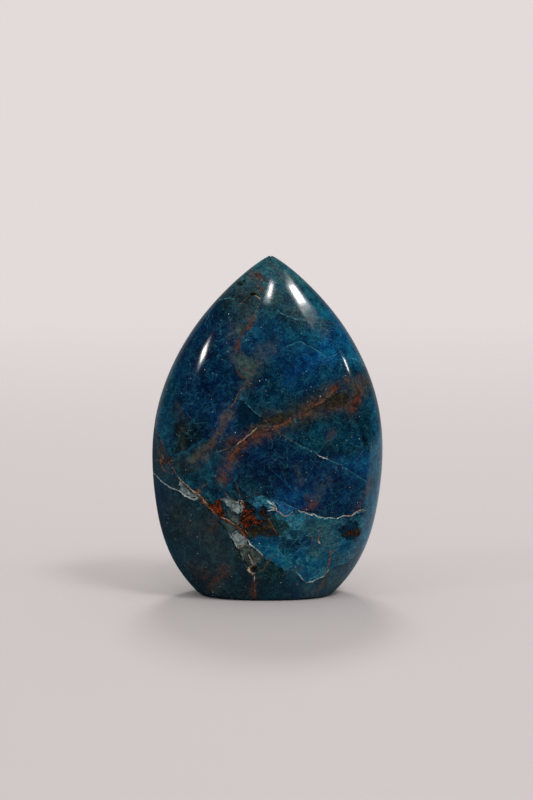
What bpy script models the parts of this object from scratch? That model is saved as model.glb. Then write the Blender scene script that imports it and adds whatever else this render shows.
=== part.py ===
"""A piece of blue apatite, carved and polished as a flame, that stands on its flat foot.

Metres, +Z up. The front faces -Y, and the origin is the middle of the foot's flat face.
Sizes and places on the stone are in millimetres and are scaled to metres as the mesh is made.
"""
import math

import bmesh
import bpy
from mathutils import Matrix, Vector, noise

MM = 0.001
FRONT = -1
BACK = 1

# The flame's outline: height, half width and half depth, from the tip to the foot.
OUTLINE = [
    (90.0, 0.0, 0.0),
    (90.0, 0.55, 0.4),
    (87.0, 5.75, 3.1),
    (72.0, 20.8, 10.9),
    (50.0, 31.0, 16.2),
    (27.0, 30.8, 16.6),
    (8.0, 26.3, 14.4),
    (0.0, 17.7, 11.2),
]
SWELL = 0.055           # how far the level sections bulge past an ellipse, between its axes
FOOT_ROUNDING = 0.8     # how high the rubbed edge of the foot reaches
STRAIGHT_HEIGHT = 38.0  # where the centre line crosses the stone's own axis
TIP_LEAN = 0.0161       # how fast the centre line drifts to +X above that height
FOOT_LEAN = 0.0125      # and how fast it drifts to -X below it

SEGMENTS = 72
RINGS = 42

# Open cracks: width, depth, and the route as (x, z) seen on that side.
GROOVES = {
    "main_seam": (FRONT, 0.7, 0.45, [
        (-29.8, 43.5), (-28.4, 41.8), (-26.7, 38.5), (-25.3, 35.3), (-22.6, 31.8), (-20.1, 29.8),
        (-18.1, 28.4), (-15.6, 26.0), (-13.4, 23.0), (-10.7, 22.0), (-7.7, 20.2), (-5.1, 16.7),
        (-2.0, 13.5), (1.1, 11.4), (4.6, 7.9), (6.7, 8.5), (9.9, 5.3),
    ]),
    "right_crack": (FRONT, 0.5, 0.35, [
        (8.0, 24.5), (10.2, 23.6), (13.0, 22.7), (16.1, 22.3), (18.9, 22.4), (21.9, 22.5),
        (24.7, 23.2), (27.3, 23.0), (29.0, 24.2),
    ]),
    "jagged_edge": (FRONT, 0.5, 0.35, [
        (-12.9, 21.3), (-9.9, 18.0), (-8.2, 15.0), (-6.3, 11.0), (-4.5, 8.4),
    ]),
    "rust_crack": (FRONT, 0.5, 0.35, [
        (12.9, 1.6), (15.3, 5.9), (16.2, 9.0), (16.4, 12.6), (17.9, 14.5), (16.4, 17.3),
        (15.2, 18.2),
    ]),
    "tip_crack": (FRONT, 0.5, 0.35, [
        (-1.5, 81.5), (-2.2, 77.5), (-4.0, 73.5), (-7.0, 71.0), (-7.5, 66.5),
    ]),
    "back_seam": (BACK, 0.6, 0.4, [
        (-29.6, 44.0), (-26.0, 47.0), (-20.5, 46.0), (-14.0, 41.5), (-8.0, 39.0), (-1.5, 33.0),
        (4.0, 30.5), (11.0, 24.0), (17.5, 21.5), (23.0, 15.5),
    ]),
}
GROOVE_RISE = 0.5       # how far a groove's cutter stands proud of the surface
GROOVE_END = 0.45       # the share of its depth that a groove keeps at its two ends

# Hollows where rust has weathered out: x, z, half width, half height, depth.
HOLLOWS = {
    "seam_node": (FRONT, -18.1, 28.4, 1.3, 1.0, 0.45),
    "left_pocket": (FRONT, -12.1, 24.6, 1.3, 2.1, 0.45),
    "middle_pocket": (FRONT, -4.2, 23.0, 2.6, 1.9, 0.45),
    "upper_pocket": (FRONT, -7.6, 68.6, 0.9, 1.9, 0.35),
    "tip_pit": (FRONT, -4.1, 80.0, 1.0, 0.7, 0.45),
    "rust_node": (FRONT, 15.8, 14.2, 1.2, 1.6, 0.40),
    "back_node": (BACK, -13.5, 41.3, 2.2, 1.4, 0.45),
    "back_pocket": (BACK, 7.0, 27.6, 1.7, 2.3, 0.45),
    "back_pit": (BACK, 5.0, 66.0, 1.2, 2.0, 0.35),
}
HOLLOW_OVERSIZE = 1.2   # the cutter's size against the hollow's, because it stands half out
RIM_WANDER = 0.35       # how far a hollow's rim wanders, as a share of its size
RIM_WAVES = 1.6         # how many times it wanders, for each of the cutter's half widths

STONE_COLOUR = (0.012, 0.085, 0.150, 1.0)
STONE_ROUGHNESS = 0.12
SHARP_ANGLE = math.radians(35)

HALVINGS = 40           # steps of the search for a height on the outline
REFININGS = 12          # steps of the search for a turn on a section
NEARBY = 0.01           # a step along the surface, to find which way is out
WIDEST_COSINE = 0.995   # keeps a place near the stone's edge on the side that it was given


def spline(points, t):
    """The point at t, from 0 to 1, on a clamped cubic B-spline with evenly spaced inner knots."""
    degree = 3
    spans = len(points) - degree
    knots = [0.0] * degree + [i / spans for i in range(spans + 1)] + [1.0] * degree
    span = degree + min(int(t * spans), spans - 1)
    near = [Vector(points[span - degree + i]) for i in range(degree + 1)]
    for level in range(1, degree + 1):
        for i in range(degree, level - 1, -1):
            low = knots[span - degree + i]
            high = knots[span + 1 + i - level]
            near[i] = near[i - 1].lerp(near[i], (t - low) / (high - low))
    return near[degree]


def outline_at(height):
    """The half width and half depth at a height."""
    low, high = 0.0, 1.0
    for _ in range(HALVINGS):
        middle = (low + high) / 2
        if spline(OUTLINE, middle)[0] > height:
            low = middle
        else:
            high = middle
    return spline(OUTLINE, low)[1:]


def lean(height):
    """How far the centre line stands to +X at a height."""
    drift = TIP_LEAN if height > STRAIGHT_HEIGHT else FOOT_LEAN
    return drift * (height - STRAIGHT_HEIGHT)


def section(height, half_width, half_depth, turn):
    """The surface point at a turn round the level section, in metres."""
    bulge = 1 + SWELL * math.sin(2 * turn) ** 2
    rubbed = FOOT_ROUNDING * max(0.0, 1 - height / FOOT_ROUNDING) ** 2
    x = lean(height) + (half_width - rubbed) * math.cos(turn) * bulge
    y = (half_depth - rubbed) * math.sin(turn) * bulge
    return Vector((x, y, height)) * MM


def on_surface(x, z, side):
    """The surface point at (x, z) on the front or the back, and the way out from it."""
    half_width, half_depth = outline_at(z)
    turn = math.pi / 2
    for _ in range(REFININGS):
        bulge = 1 + SWELL * math.sin(2 * turn) ** 2
        across = (x - lean(z)) / (half_width * bulge)
        turn = math.acos(max(-WIDEST_COSINE, min(WIDEST_COSINE, across)))
    turn *= side
    here = section(z, half_width, half_depth, turn)
    round_way = section(z, half_width, half_depth, turn + NEARBY) - here
    up_way = section(z + NEARBY, *outline_at(z + NEARBY), turn) - here
    return here, round_way.cross(up_way).normalized()


def polished_blue():
    material = bpy.data.materials.new("polished blue apatite")
    material.use_nodes = True
    shader = material.node_tree.nodes["Principled BSDF"]
    shader.inputs["Base Color"].default_value = STONE_COLOUR
    shader.inputs["Roughness"].default_value = STONE_ROUGHNESS
    shader.inputs["Metallic"].default_value = 0.0
    return material


def new_object(name, bm):
    mesh = bpy.data.meshes.new(name)
    bm.to_mesh(mesh)
    bm.free()
    result = bpy.data.objects.new(name, mesh)
    bpy.context.scene.collection.objects.link(result)
    return result


def flame():
    """The whole stone before its cracks: a ball whose rings are moved to the flame's outline."""
    bm = bmesh.new()
    bmesh.ops.create_uvsphere(bm, u_segments=SEGMENTS, v_segments=RINGS, radius=1.0)
    for vertex in bm.verts:
        ring = round(math.acos(max(-1.0, min(1.0, vertex.co.z))) / math.pi * RINGS)
        if ring == RINGS:
            vertex.co = Vector((lean(0.0), 0.0, 0.0)) * MM
            continue
        turn = math.atan2(vertex.co.y, vertex.co.x)
        closer_at_the_foot = math.sin(ring / (RINGS - 1) * math.pi / 2)
        vertex.co = section(*spline(OUTLINE, closer_at_the_foot), turn)
    bmesh.ops.triangulate(bm, faces=bm.faces[:])
    bmesh.ops.recalc_face_normals(bm, faces=bm.faces[:])
    return new_object("stone", bm)


def groove(name, side, width, depth, route):
    """A cutter for an open crack: a wedge that follows the route, with its keel in the stone."""
    places = [on_surface(x, z, side) for x, z in route]
    crown_width = width * (1 + GROOVE_RISE / depth)
    bm = bmesh.new()
    blade = bm.faces.new([bm.verts.new() for _ in range(3)])
    for i, (point, out) in enumerate(places):
        before = places[max(i - 1, 0)][0]
        after = places[min(i + 1, len(places) - 1)][0]
        across = (after - before).cross(out).normalized() * (crown_width / 2 * MM)
        depth_here = depth * (GROOVE_END if i in (0, len(places) - 1) else 1.0)
        crown = point + out * (GROOVE_RISE * MM)
        keel = point - out * (depth_here * MM)
        if i > 0:
            grown = bmesh.ops.extrude_face_region(bm, geom=[blade])
            if i > 1:
                bmesh.ops.delete(bm, geom=[blade], context="FACES_ONLY")
            blade = next(item for item in grown["geom"] if isinstance(item, bmesh.types.BMFace))
        for vertex, place in zip(blade.verts, (crown - across, crown + across, keel)):
            vertex.co = place
    bmesh.ops.triangulate(bm, faces=bm.faces[:])
    bmesh.ops.recalc_face_normals(bm, faces=bm.faces[:])
    return new_object(name, bm)


def hollow(name, side, x, z, half_width, half_height, depth):
    """A cutter for a weathered hollow: a rough flat ball that reaches a little into the stone."""
    point, out = on_surface(x, z, side)
    bm = bmesh.new()
    bmesh.ops.create_icosphere(bm, subdivisions=2, radius=1.0)
    for vertex in bm.verts:
        wander = noise.noise(vertex.co * RIM_WAVES + Vector((x, z, 0.0)))
        vertex.co *= 1 + RIM_WANDER * wander
    size = Vector((half_width * HOLLOW_OVERSIZE, half_height * HOLLOW_OVERSIZE, depth * 2)) * MM
    facing = out.to_track_quat("Z", "Y")
    place = Matrix.LocRotScale(point + out * (depth * MM), facing, size)
    bmesh.ops.transform(bm, matrix=place, verts=bm.verts[:])
    bmesh.ops.recalc_face_normals(bm, faces=bm.faces[:])
    return new_object(name, bm)


def cut(stone, cutter):
    cutter.hide_render = True
    cutter.display_type = "WIRE"
    boolean = stone.modifiers.new(cutter.name, "BOOLEAN")
    boolean.operation = "DIFFERENCE"
    boolean.solver = "EXACT"
    boolean.object = cutter


def main():
    for old in list(bpy.data.objects):
        bpy.data.objects.remove(old)

    stone = flame()
    stone.data.materials.append(polished_blue())
    stone.data.shade_smooth()
    stone.data.set_sharp_from_angle(angle=SHARP_ANGLE)

    for name, crack in GROOVES.items():
        cut(stone, groove(name + "_cutter", *crack))
    for name, pocket in HOLLOWS.items():
        cut(stone, hollow(name + "_cutter", *pocket))


main()
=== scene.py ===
import math

import bmesh
import bpy
import numpy as np
from mathutils import Matrix, Vector


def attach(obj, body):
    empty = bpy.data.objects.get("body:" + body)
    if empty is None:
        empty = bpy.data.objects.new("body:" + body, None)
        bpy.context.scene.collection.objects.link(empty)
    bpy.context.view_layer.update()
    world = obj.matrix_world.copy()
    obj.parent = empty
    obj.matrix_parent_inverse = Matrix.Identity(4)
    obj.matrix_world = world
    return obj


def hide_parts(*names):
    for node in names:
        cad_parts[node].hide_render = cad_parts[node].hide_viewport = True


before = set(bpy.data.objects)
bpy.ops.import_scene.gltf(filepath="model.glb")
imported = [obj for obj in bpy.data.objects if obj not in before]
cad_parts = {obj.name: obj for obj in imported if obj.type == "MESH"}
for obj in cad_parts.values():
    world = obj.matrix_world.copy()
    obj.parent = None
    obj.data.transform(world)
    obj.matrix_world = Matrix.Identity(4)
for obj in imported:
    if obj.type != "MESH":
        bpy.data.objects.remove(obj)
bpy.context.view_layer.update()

# The stone is worked out in millimetres, as seen from the front, and scaled to metres at the end.
MM = 0.001
FRONT = -1
BACK = 1

# The flame's outline: height, half width and half depth, from the tip to the foot.
OUTLINE = [
    (90.0, 0.0, 0.0),
    (90.0, 0.55, 0.4),
    (87.0, 5.75, 3.1),
    (72.0, 20.8, 10.9),
    (50.0, 31.0, 16.2),
    (27.0, 30.8, 16.6),
    (8.0, 26.3, 14.4),
    (0.0, 17.7, 11.2),
]
SWELL = 0.055
FOOT_ROUNDING = 0.8
STRAIGHT_HEIGHT = 38.0
TIP_LEAN = 0.0161
FOOT_LEAN = 0.0125

COLUMNS = 264           # faces round the stone
ROWS = 190              # faces from the tip to the foot's edge
FOOT_ROWS = 8           # faces from the foot's edge to its middle
NEAR_RELIEF = (1.2, 0.6)  # how near to a crack the faces are halved, and halved again

# What a line is filled with: its colour on the screen's scale, and how soft its edges are.
LINE_FILLINGS = {
    "white": ((206, 220, 218), 0.6),
    "ice": ((74, 142, 156), 0.9),
    "blue": ((22, 98, 136), 0.95),
    "cream": ((200, 174, 144), 0.75),
    "tan": ((124, 92, 66), 0.9),
    "orange": ((138, 84, 50), 0.95),
    "rust": ((96, 50, 32), 0.8),
    "umber": ((78, 50, 38), 1.0),
    "dust": ((76, 74, 68), 0.8),
    "olive": ((72, 68, 48), 1.0),
    # black is dark filling, and also painted shadow beside some cracks
    "black": ((3, 8, 10), 0.85),
}

# The open seam from the left edge down to the turquoise stone, in stretches of different filling.
UPPER_SEAM = [
    (-31.6, 47.4), (-29.9, 45.2), (-28.8, 43.4), (-27.9, 41.8), (-27.3, 40.5), (-27.1, 39.2),
    (-26.6, 37.8), (-26.1, 36.8), (-25.2, 35.7), (-24.4, 34.6), (-23.6, 33.5), (-22.8, 32.5),
    (-21.6, 31.4), (-20.5, 30.5), (-19.6, 29.7), (-18.6, 28.6),
]
CRUSTED_SEAM = [
    (-18.6, 28.6), (-17.4, 27.6), (-16.4, 26.5), (-15.4, 25.5), (-14.5, 24.7), (-13.5, 23.6),
    (-12.7, 22.9), (-11.4, 22.4), (-10.4, 22.0), (-9.4, 21.4), (-8.2, 20.6), (-7.2, 19.9),
    (-6.3, 18.9), (-5.6, 17.7), (-5.0, 16.9),
]
TAN_SEAM = [(-5.0, 16.9), (-4.0, 15.7), (-3.0, 14.6), (-2.0, 13.4), (-1.0, 12.3)]
LOWER_SEAM = [
    (-1.0, 12.3), (0.0, 11.6), (1.2, 11.4), (1.8, 10.8), (2.4, 10.0), (3.4, 9.4), (4.2, 8.7),
    (4.8, 8.0), (5.4, 8.4), (6.6, 8.6), (7.3, 8.1), (8.2, 7.0), (9.2, 6.0), (10.1, 5.1),
]
MAIN_SEAM = UPPER_SEAM + CRUSTED_SEAM[1:] + TAN_SEAM[1:] + LOWER_SEAM[1:]
PALE_BOUNDARY = [
    (10.1, 5.1), (12.0, 5.4), (13.2, 5.9), (14.8, 6.4), (15.4, 7.3), (16.2, 8.4), (17.4, 9.1),
    (19.0, 9.4), (20.6, 9.8), (21.8, 10.6), (22.8, 11.4), (24.4, 12.6),
]
WHITE_CRACK = [
    (7.8, 24.7), (8.5, 24.3), (9.2, 24.2), (10.0, 23.8), (10.7, 23.6), (11.4, 23.4), (12.1, 23.7),
    (12.7, 23.2), (13.2, 22.7), (14.2, 22.8), (15.2, 22.5), (16.2, 22.6), (17.0, 22.3),
    (17.8, 22.0), (18.5, 22.4), (19.3, 22.6), (20.1, 22.9), (21.0, 22.9), (21.8, 22.6),
    (22.4, 23.2), (23.2, 23.5), (24.2, 23.8), (25.1, 23.7), (26.2, 23.5),
]
JAGGED_EDGE = [
    (-13.0, 21.9), (-12.2, 20.9), (-11.2, 19.8), (-10.2, 18.6), (-9.4, 17.4), (-8.8, 16.4),
    (-8.6, 15.2), (-7.9, 14.2), (-7.2, 13.2), (-6.6, 12.0), (-6.1, 11.0), (-5.5, 10.1),
    (-4.9, 9.2), (-4.5, 8.4),
]
BROWN_LINE = [(9.4, 49.7), (10.4, 50.6), (11.6, 51.2), (12.8, 51.8), (14.4, 52.2)]
BAND_LINE = [
    (2.6, 47.0), (0.4, 46.9), (-1.4, 46.9), (-2.6, 46.4), (-3.8, 45.4), (-5.2, 44.3), (-6.3, 43.2),
    (-7.4, 42.4), (-8.6, 41.4), (-10.2, 40.8), (-12.0, 40.2), (-13.8, 39.8),
]
BAND_ROUTE = [
    (3.0, 46.6), (1.0, 46.0), (-1.4, 45.2), (-3.6, 44.2), (-5.6, 42.8), (-7.4, 41.2), (-8.8, 39.5),
    (-9.8, 37.8), (-10.5, 36.0), (-11.0, 34.2), (-11.3, 32.8),
]
VEIN_TOP = [(-3.3, 75.0), (-3.7, 73.7), (-4.4, 72.6), (-5.2, 71.6), (-5.9, 70.9)]
VEIN_BOTTOM = [(-6.3, 70.8), (-6.9, 69.5), (-7.4, 68.4), (-7.6, 67.2), (-7.8, 66.0), (-8.2, 65.2)]
GREY_RIBBON = [
    (-9.6, 50.9), (-10.3, 49.2), (-11.3, 47.3), (-12.5, 45.3), (-13.8, 43.4), (-15.2, 41.8),
    (-17.0, 40.0), (-18.8, 38.5), (-20.4, 37.4),
]
BROWN_TRUNK = [
    (16.4, 13.1), (16.4, 11.6), (16.2, 10.2), (15.7, 8.8), (15.2, 7.4), (14.9, 6.0), (14.4, 4.6),
    (13.8, 3.0), (13.2, 1.4), (12.8, 0.7),
]
BACK_SEAM = [
    (-31.6, 44.6), (-29.8, 45.1), (-28.4, 46.4), (-26.0, 47.0), (-23.4, 46.2), (-20.5, 46.0),
    (-17.6, 43.6), (-14.0, 41.5), (-11.0, 40.6), (-8.0, 39.0), (-5.0, 35.4), (-1.5, 33.0),
    (1.4, 32.2), (4.0, 30.5), (7.6, 26.8), (11.0, 24.0), (14.4, 23.2), (17.5, 21.5),
    (20.4, 18.0), (23.0, 15.5),
]
BACK_CRACK = [
    (30.0, 62.0), (26.0, 60.7), (21.0, 58.5), (16.5, 57.0), (12.0, 53.2), (8.6, 51.6),
    (4.0, 46.8), (0.5, 45.2), (-3.0, 41.4), (-7.5, 39.8),
]
BACK_VEIN = [
    (27.0, 58.0), (25.0, 57.0), (19.0, 52.6), (12.6, 50.2), (7.0, 45.0), (2.4, 43.6),
    (-2.0, 38.6),
]

# Every line: the side, its filling, half its width, its strength, and its ledge shading, which is how much painted
# light brightens the stone on the line's left and painted shade darkens it on its right, and then its route.
LINES = [
    (FRONT, "umber", 1.1, 0.35, 0.0, VEIN_TOP),
    (FRONT, "rust", 0.55, 0.75, 0.0, VEIN_TOP),
    (FRONT, "umber", 1.2, 0.35, 0.0, VEIN_BOTTOM),
    (FRONT, "rust", 0.62, 0.75, 0.0, VEIN_BOTTOM[:5]),
    (FRONT, "dust", 0.42, 0.4, 0.0, [(-4.2, 72.5), (-6.2, 72.6), (-7.8, 71.7), (-8.8, 70.3)]),
    (FRONT, "dust", 0.34, 0.8, 0.0, [
        (-7.9, 66.2), (-8.5, 65.0), (-8.7, 63.5), (-8.4, 61.9), (-7.6, 60.4), (-6.5, 59.2),
        (-5.5, 58.0), (-4.8, 57.0),
    ]),
    (FRONT, "rust", 0.22, 0.6, 0.0, [(-8.3, 61.6), (-7.6, 60.3), (-6.6, 59.2), (-5.8, 58.4)]),
    (FRONT, "dust", 0.55, 0.75, 0.0, [
        (-1.6, 64.0), (-2.8, 62.8), (-3.6, 61.4), (-4.2, 59.8), (-4.8, 58.0), (-5.6, 56.9),
        (-6.6, 56.0), (-7.6, 54.9),
    ]),
    (FRONT, "tan", 0.13, 0.8, 0.0, [(-7.4, 55.0), (-8.2, 53.5), (-8.9, 52.2), (-9.6, 50.8)]),
    (FRONT, "rust", 0.36, 0.75, 0.0, [(-6.3, 62.0), (-5.6, 61.0), (-4.9, 60.2)]),
    (FRONT, "rust", 0.40, 0.5, 0.0, [(-7.4, 65.9), (-6.4, 65.4), (-5.6, 65.5)]),
    (FRONT, "dust", 0.95, 0.45, 0.0, GREY_RIBBON),
    (FRONT, "umber", 0.40, 0.55, 0.0, [
        (-9.9, 49.6), (-10.7, 47.6), (-11.9, 45.4), (-13.2, 43.2), (-14.7, 41.3), (-16.6, 39.5),
        (-18.4, 38.0),
    ]),
    (FRONT, "dust", 0.26, 0.8, 0.0, [(-9.7, 50.2), (-8.8, 49.9), (-8.5, 49.0), (-8.9, 48.2), (-10.0, 47.9)]),
    (FRONT, "tan", 0.35, 0.35, 0.0, [(-20.6, 37.3), (-19.2, 37.3), (-18.2, 36.9)]),
    (FRONT, "tan", 0.30, 0.4, 0.0, [(-18.2, 35.4), (-17.4, 35.9), (-17.0, 35.4)]),
    (FRONT, "umber", 1.2, 0.5, 0.0, BAND_ROUTE[1:]),
    (FRONT, "rust", 0.6, 0.5, 0.0, BAND_ROUTE[2:9]),
    (FRONT, "orange", 0.26, 0.45, 0.0, BAND_ROUTE[3:8]),
    (FRONT, "umber", 0.9, 0.35, 0.0, [(-3.4, 46.6), (-6.0, 45.0), (-8.2, 43.2), (-10.8, 41.8)]),
    (FRONT, "cream", 0.12, 0.75, 0.0, BAND_LINE[3:9]),
    (FRONT, "tan", 0.14, 0.65, 0.0, BAND_LINE[:4]),
    (FRONT, "tan", 0.12, 0.6, 0.0, BAND_LINE[8:]),
    (FRONT, "umber", 0.42, 0.8, 0.0, [
        (-9.6, 35.6), (-9.1, 34.2), (-9.7, 32.7), (-10.7, 31.4), (-11.4, 30.4),
    ]),
    (FRONT, "rust", 0.32, 0.7, 0.0, [(-10.8, 34.6), (-11.2, 33.6), (-10.6, 32.2), (-11.3, 31.0)]),
    (FRONT, "umber", 0.55, 0.55, 0.0, [(-12.9, 37.2), (-12.5, 35.4), (-12.3, 33.6), (-11.7, 32.6)]),
    (FRONT, "orange", 0.28, 0.75, 0.0, [
        (-1.4, 45.3), (0.4, 46.0), (2.0, 46.5), (3.6, 47.3), (5.2, 48.2), (6.6, 49.1),
    ]),
    (FRONT, "umber", 0.9, 0.45, 0.0, [(-0.6, 45.4), (1.8, 46.2), (4.0, 47.2), (6.0, 48.4)]),
    (FRONT, "black", 0.24, 0.85, 0.0, BROWN_LINE),
    (FRONT, "black", 0.15, 0.7, 0.0, [(16.6, 53.9), (17.6, 54.4), (18.6, 54.7), (19.6, 55.2)]),
    (FRONT, "orange", 0.28, 0.6, 0.0, [
        (12.2, 51.9), (13.6, 52.5), (14.8, 53.5), (15.8, 54.5), (16.8, 55.3), (18.0, 56.2),
    ]),
    (FRONT, "olive", 0.20, 0.75, 0.0, [
        (18.6, 55.0), (20.4, 55.7), (22.0, 56.4), (24.2, 56.8), (26.2, 57.2), (27.6, 56.4),
    ]),
    (FRONT, "tan", 0.20, 0.75, 0.0, [(7.9, 48.5), (8.7, 48.9), (9.5, 49.6)]),
    (FRONT, "ice", 0.26, 0.8, 0.0, [(6.8, 48.7), (7.3, 48.0), (7.7, 47.6)]),
    (FRONT, "umber", 0.8, 0.5, 0.0, [(15.6, 50.9), (18.0, 51.2), (20.4, 51.4), (21.8, 50.6)]),
    (FRONT, "umber", 0.45, 0.5, 0.0, [(15.4, 42.2), (16.3, 44.0), (17.2, 46.0)]),
    (FRONT, "umber", 0.35, 0.7, 0.0, [(28.2, 47.4), (28.6, 46.2)]),
    (FRONT, "tan", 0.17, 0.8, 0.0, [(-1.5, 79.4), (-2.0, 78.2), (-2.5, 76.8), (-3.0, 75.6), (-3.4, 74.8)]),
    (FRONT, "blue", 0.10, 0.45, 0.0, [(-13.4, 61.2), (-11.6, 59.4), (-9.8, 57.9), (-8.0, 56.2)]),
    (FRONT, "ice", 0.13, 0.85, 0.6, [
        (-7.7, 54.8), (-6.6, 53.5), (-5.4, 52.4), (-4.0, 51.0), (-2.8, 50.0), (-1.5, 49.0),
    ]),
    (FRONT, "tan", 0.12, 0.6, 0.0, [(-1.3, 49.1), (0.1, 47.7), (1.3, 46.7), (2.5, 45.7), (3.8, 44.6)]),
    (FRONT, "tan", 0.12, 0.6, 0.0, [(3.6, 44.8), (5.4, 43.6), (7.0, 42.5)]),
    (FRONT, "ice", 0.22, 0.7, -0.3, [(6.6, 42.7), (7.8, 42.0), (9.2, 41.2), (10.8, 40.5), (12.6, 39.8)]),
    (FRONT, "white", 0.12, 0.7, 0.0, [(12.5, 39.8), (12.9, 39.3), (13.5, 38.9), (14.5, 38.5), (15.8, 38.0)]),
    (FRONT, "ice", 0.11, 0.7, -0.25, [
        (15.6, 38.1), (17.3, 37.1), (19.4, 35.9), (20.9, 35.1), (22.7, 33.8), (23.9, 32.8),
        (25.4, 31.8), (26.6, 31.3),
    ]),
    (FRONT, "ice", 0.12, 0.5, 0.0, [(8.2, 42.0), (8.6, 41.0), (9.3, 40.2)]),
    (FRONT, "ice", 0.12, 0.85, -0.35, [
        (4.6, 67.0), (5.7, 67.4), (7.5, 67.9), (8.3, 68.1), (9.6, 67.6), (10.9, 67.0),
        (12.3, 66.3), (13.6, 65.4), (14.7, 64.4), (15.6, 63.6),
    ]),
    (FRONT, "ice", 0.11, 0.7, 0.0, [
        (15.2, 64.0), (16.8, 64.2), (17.4, 64.8), (18.3, 65.0), (19.2, 65.9),
    ]),
    (FRONT, "blue", 0.13, 0.9, 0.0, [
        (15.6, 63.5), (17.0, 62.9), (18.3, 63.2), (19.5, 63.5), (20.4, 64.0),
    ]),
    (FRONT, "ice", 0.14, 0.75, 0.5, [
        (20.6, 63.8), (21.7, 63.5), (23.1, 63.1), (24.0, 62.3), (24.9, 61.3), (26.0, 60.7),
        (27.4, 60.2),
    ]),
    (FRONT, "ice", 0.11, 0.75, 0.0, [
        (2.3, 76.5), (3.0, 75.8), (3.7, 75.3), (4.6, 75.0), (5.6, 74.4), (6.9, 73.9), (8.4, 73.7),
    ]),
    (FRONT, "ice", 0.12, 0.65, 0.0, [(8.2, 73.8), (9.8, 73.6), (11.0, 73.0), (12.4, 73.2), (14.2, 72.8)]),
    (FRONT, "olive", 0.26, 0.75, 0.0, [(14.0, 72.8), (15.4, 72.9), (17.0, 72.6), (18.6, 71.8), (20.2, 70.6)]),
    (FRONT, "blue", 0.11, 0.7, 0.0, [(3.8, 75.2), (3.2, 74.6), (2.4, 73.9)]),
    (FRONT, "tan", 0.11, 0.8, 0.0, [(-8.0, 76.9), (-6.7, 78.1), (-5.5, 79.0), (-4.7, 79.6)]),
    (FRONT, "ice", 0.11, 0.7, 0.0, [(-13.0, 78.4), (-11.6, 78.8), (-10.2, 79.1), (-8.2, 78.8)]),
    (FRONT, "black", 0.30, 0.95, 0.0, [(-4.9, 80.3), (-3.8, 80.3), (-2.8, 79.8), (-1.8, 79.1)]),
    (FRONT, "cream", 0.13, 0.95, 0.0, [(-3.4, 79.9), (-2.7, 79.6), (-2.1, 79.2), (-1.6, 79.0)]),
    (FRONT, "ice", 0.10, 0.6, 0.0, [(-6.2, 80.9), (-5.2, 80.5), (-4.4, 80.3)]),
    (FRONT, "umber", 0.40, 0.85, 0.0, [(0.5, 88.1), (1.7, 86.7), (3.1, 85.1), (4.5, 83.1)]),
    (FRONT, "tan", 0.16, 0.55, 0.0, [(-3.5, 83.7), (-2.4, 82.4), (-1.3, 81.5)]),
    (FRONT, "blue", 0.11, 0.45, 0.0, [(-0.9, 77.0), (-0.9, 73.5), (-1.0, 70.0)]),
    (FRONT, "ice", 0.11, 0.6, 0.0, [(-6.4, 68.2), (-5.2, 68.5), (-4.0, 68.6)]),
    (FRONT, "blue", 0.16, 0.9, -0.25, [
        (-25.0, 37.9), (-24.0, 38.6), (-22.6, 39.2), (-21.2, 39.7), (-20.0, 40.8), (-19.0, 41.7),
        (-17.8, 42.3), (-16.2, 43.4),
    ]),
    (FRONT, "blue", 0.11, 0.8, 0.0, [(-20.2, 40.4), (-18.8, 41.3), (-17.2, 41.9)]),
    (FRONT, "tan", 0.15, 0.75, 0.35, UPPER_SEAM[:7]),
    (FRONT, "umber", 0.7, 0.8, 0.0, [(-27.9, 41.6), (-27.3, 39.4), (-26.4, 37.4), (-25.4, 36.2)]),
    (FRONT, "black", 0.24, 0.9, 0.0, [(-27.3, 38.4), (-26.5, 37.2), (-25.6, 36.3), (-24.8, 35.3)]),
    (FRONT, "orange", 0.17, 0.9, 0.2, UPPER_SEAM[7:11]),
    (FRONT, "cream", 0.14, 0.9, 0.3, UPPER_SEAM[10:]),
    (FRONT, "black", 0.13, 0.8, 0.0, [(-23.6, 32.9), (-22.2, 31.5), (-20.9, 30.3), (-20.0, 29.5)]),
    (FRONT, "tan", 0.22, 0.7, 0.0, [(-28.7, 39.6), (-28.0, 38.4), (-27.8, 37.2), (-27.0, 36.2)]),
    (FRONT, "cream", 0.13, 0.8, 0.0, [(-27.8, 38.6), (-27.3, 37.9), (-26.9, 37.2)]),
    (FRONT, "tan", 0.14, 0.6, 0.0, [(-29.8, 36.2), (-28.8, 36.6), (-27.6, 37.0)]),
    (FRONT, "tan", 0.30, 0.45, 0.0, [(-28.2, 36.4), (-27.0, 34.4), (-25.6, 33.6)]),
    (FRONT, "cream", 0.16, 0.95, 0.0, [(-19.6, 29.9), (-18.5, 29.0), (-17.4, 28.2), (-16.4, 26.9), (-15.2, 26.0)]),
    (FRONT, "orange", 0.30, 0.95, 0.0, CRUSTED_SEAM[1:7]),
    (FRONT, "cream", 0.15, 0.95, 0.0, CRUSTED_SEAM[2:6]),
    (FRONT, "cream", 0.16, 0.85, 0.0, CRUSTED_SEAM[6:11]),
    (FRONT, "orange", 0.26, 0.95, 0.0, CRUSTED_SEAM[9:]),
    (FRONT, "cream", 0.10, 0.7, 0.0, [(-6.1, 19.7), (-5.4, 19.0), (-4.8, 18.4)]),
    (FRONT, "white", 0.16, 0.9, 0.45, TAN_SEAM),
    (FRONT, "ice", 0.12, 0.9, 0.8, LOWER_SEAM[:3]),
    # The black lines along this stretch of the seam are painted shadow under the crack's lip.
    (FRONT, "black", 0.24, 0.9, 0.8, [(1.0, 11.2), (1.7, 10.6), (2.3, 9.8)]),
    (FRONT, "black", 0.15, 0.85, 0.7, [(2.2, 10.0), (3.3, 9.2), (4.1, 8.5), (4.8, 7.8)]),
    (FRONT, "ice", 0.11, 0.7, 0.5, [(4.7, 8.2), (5.4, 8.6), (6.6, 8.8), (7.3, 8.3)]),
    (FRONT, "black", 0.16, 0.9, 0.8, [(7.2, 8.1), (8.1, 7.0), (9.1, 6.0), (10.1, 5.0)]),
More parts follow.
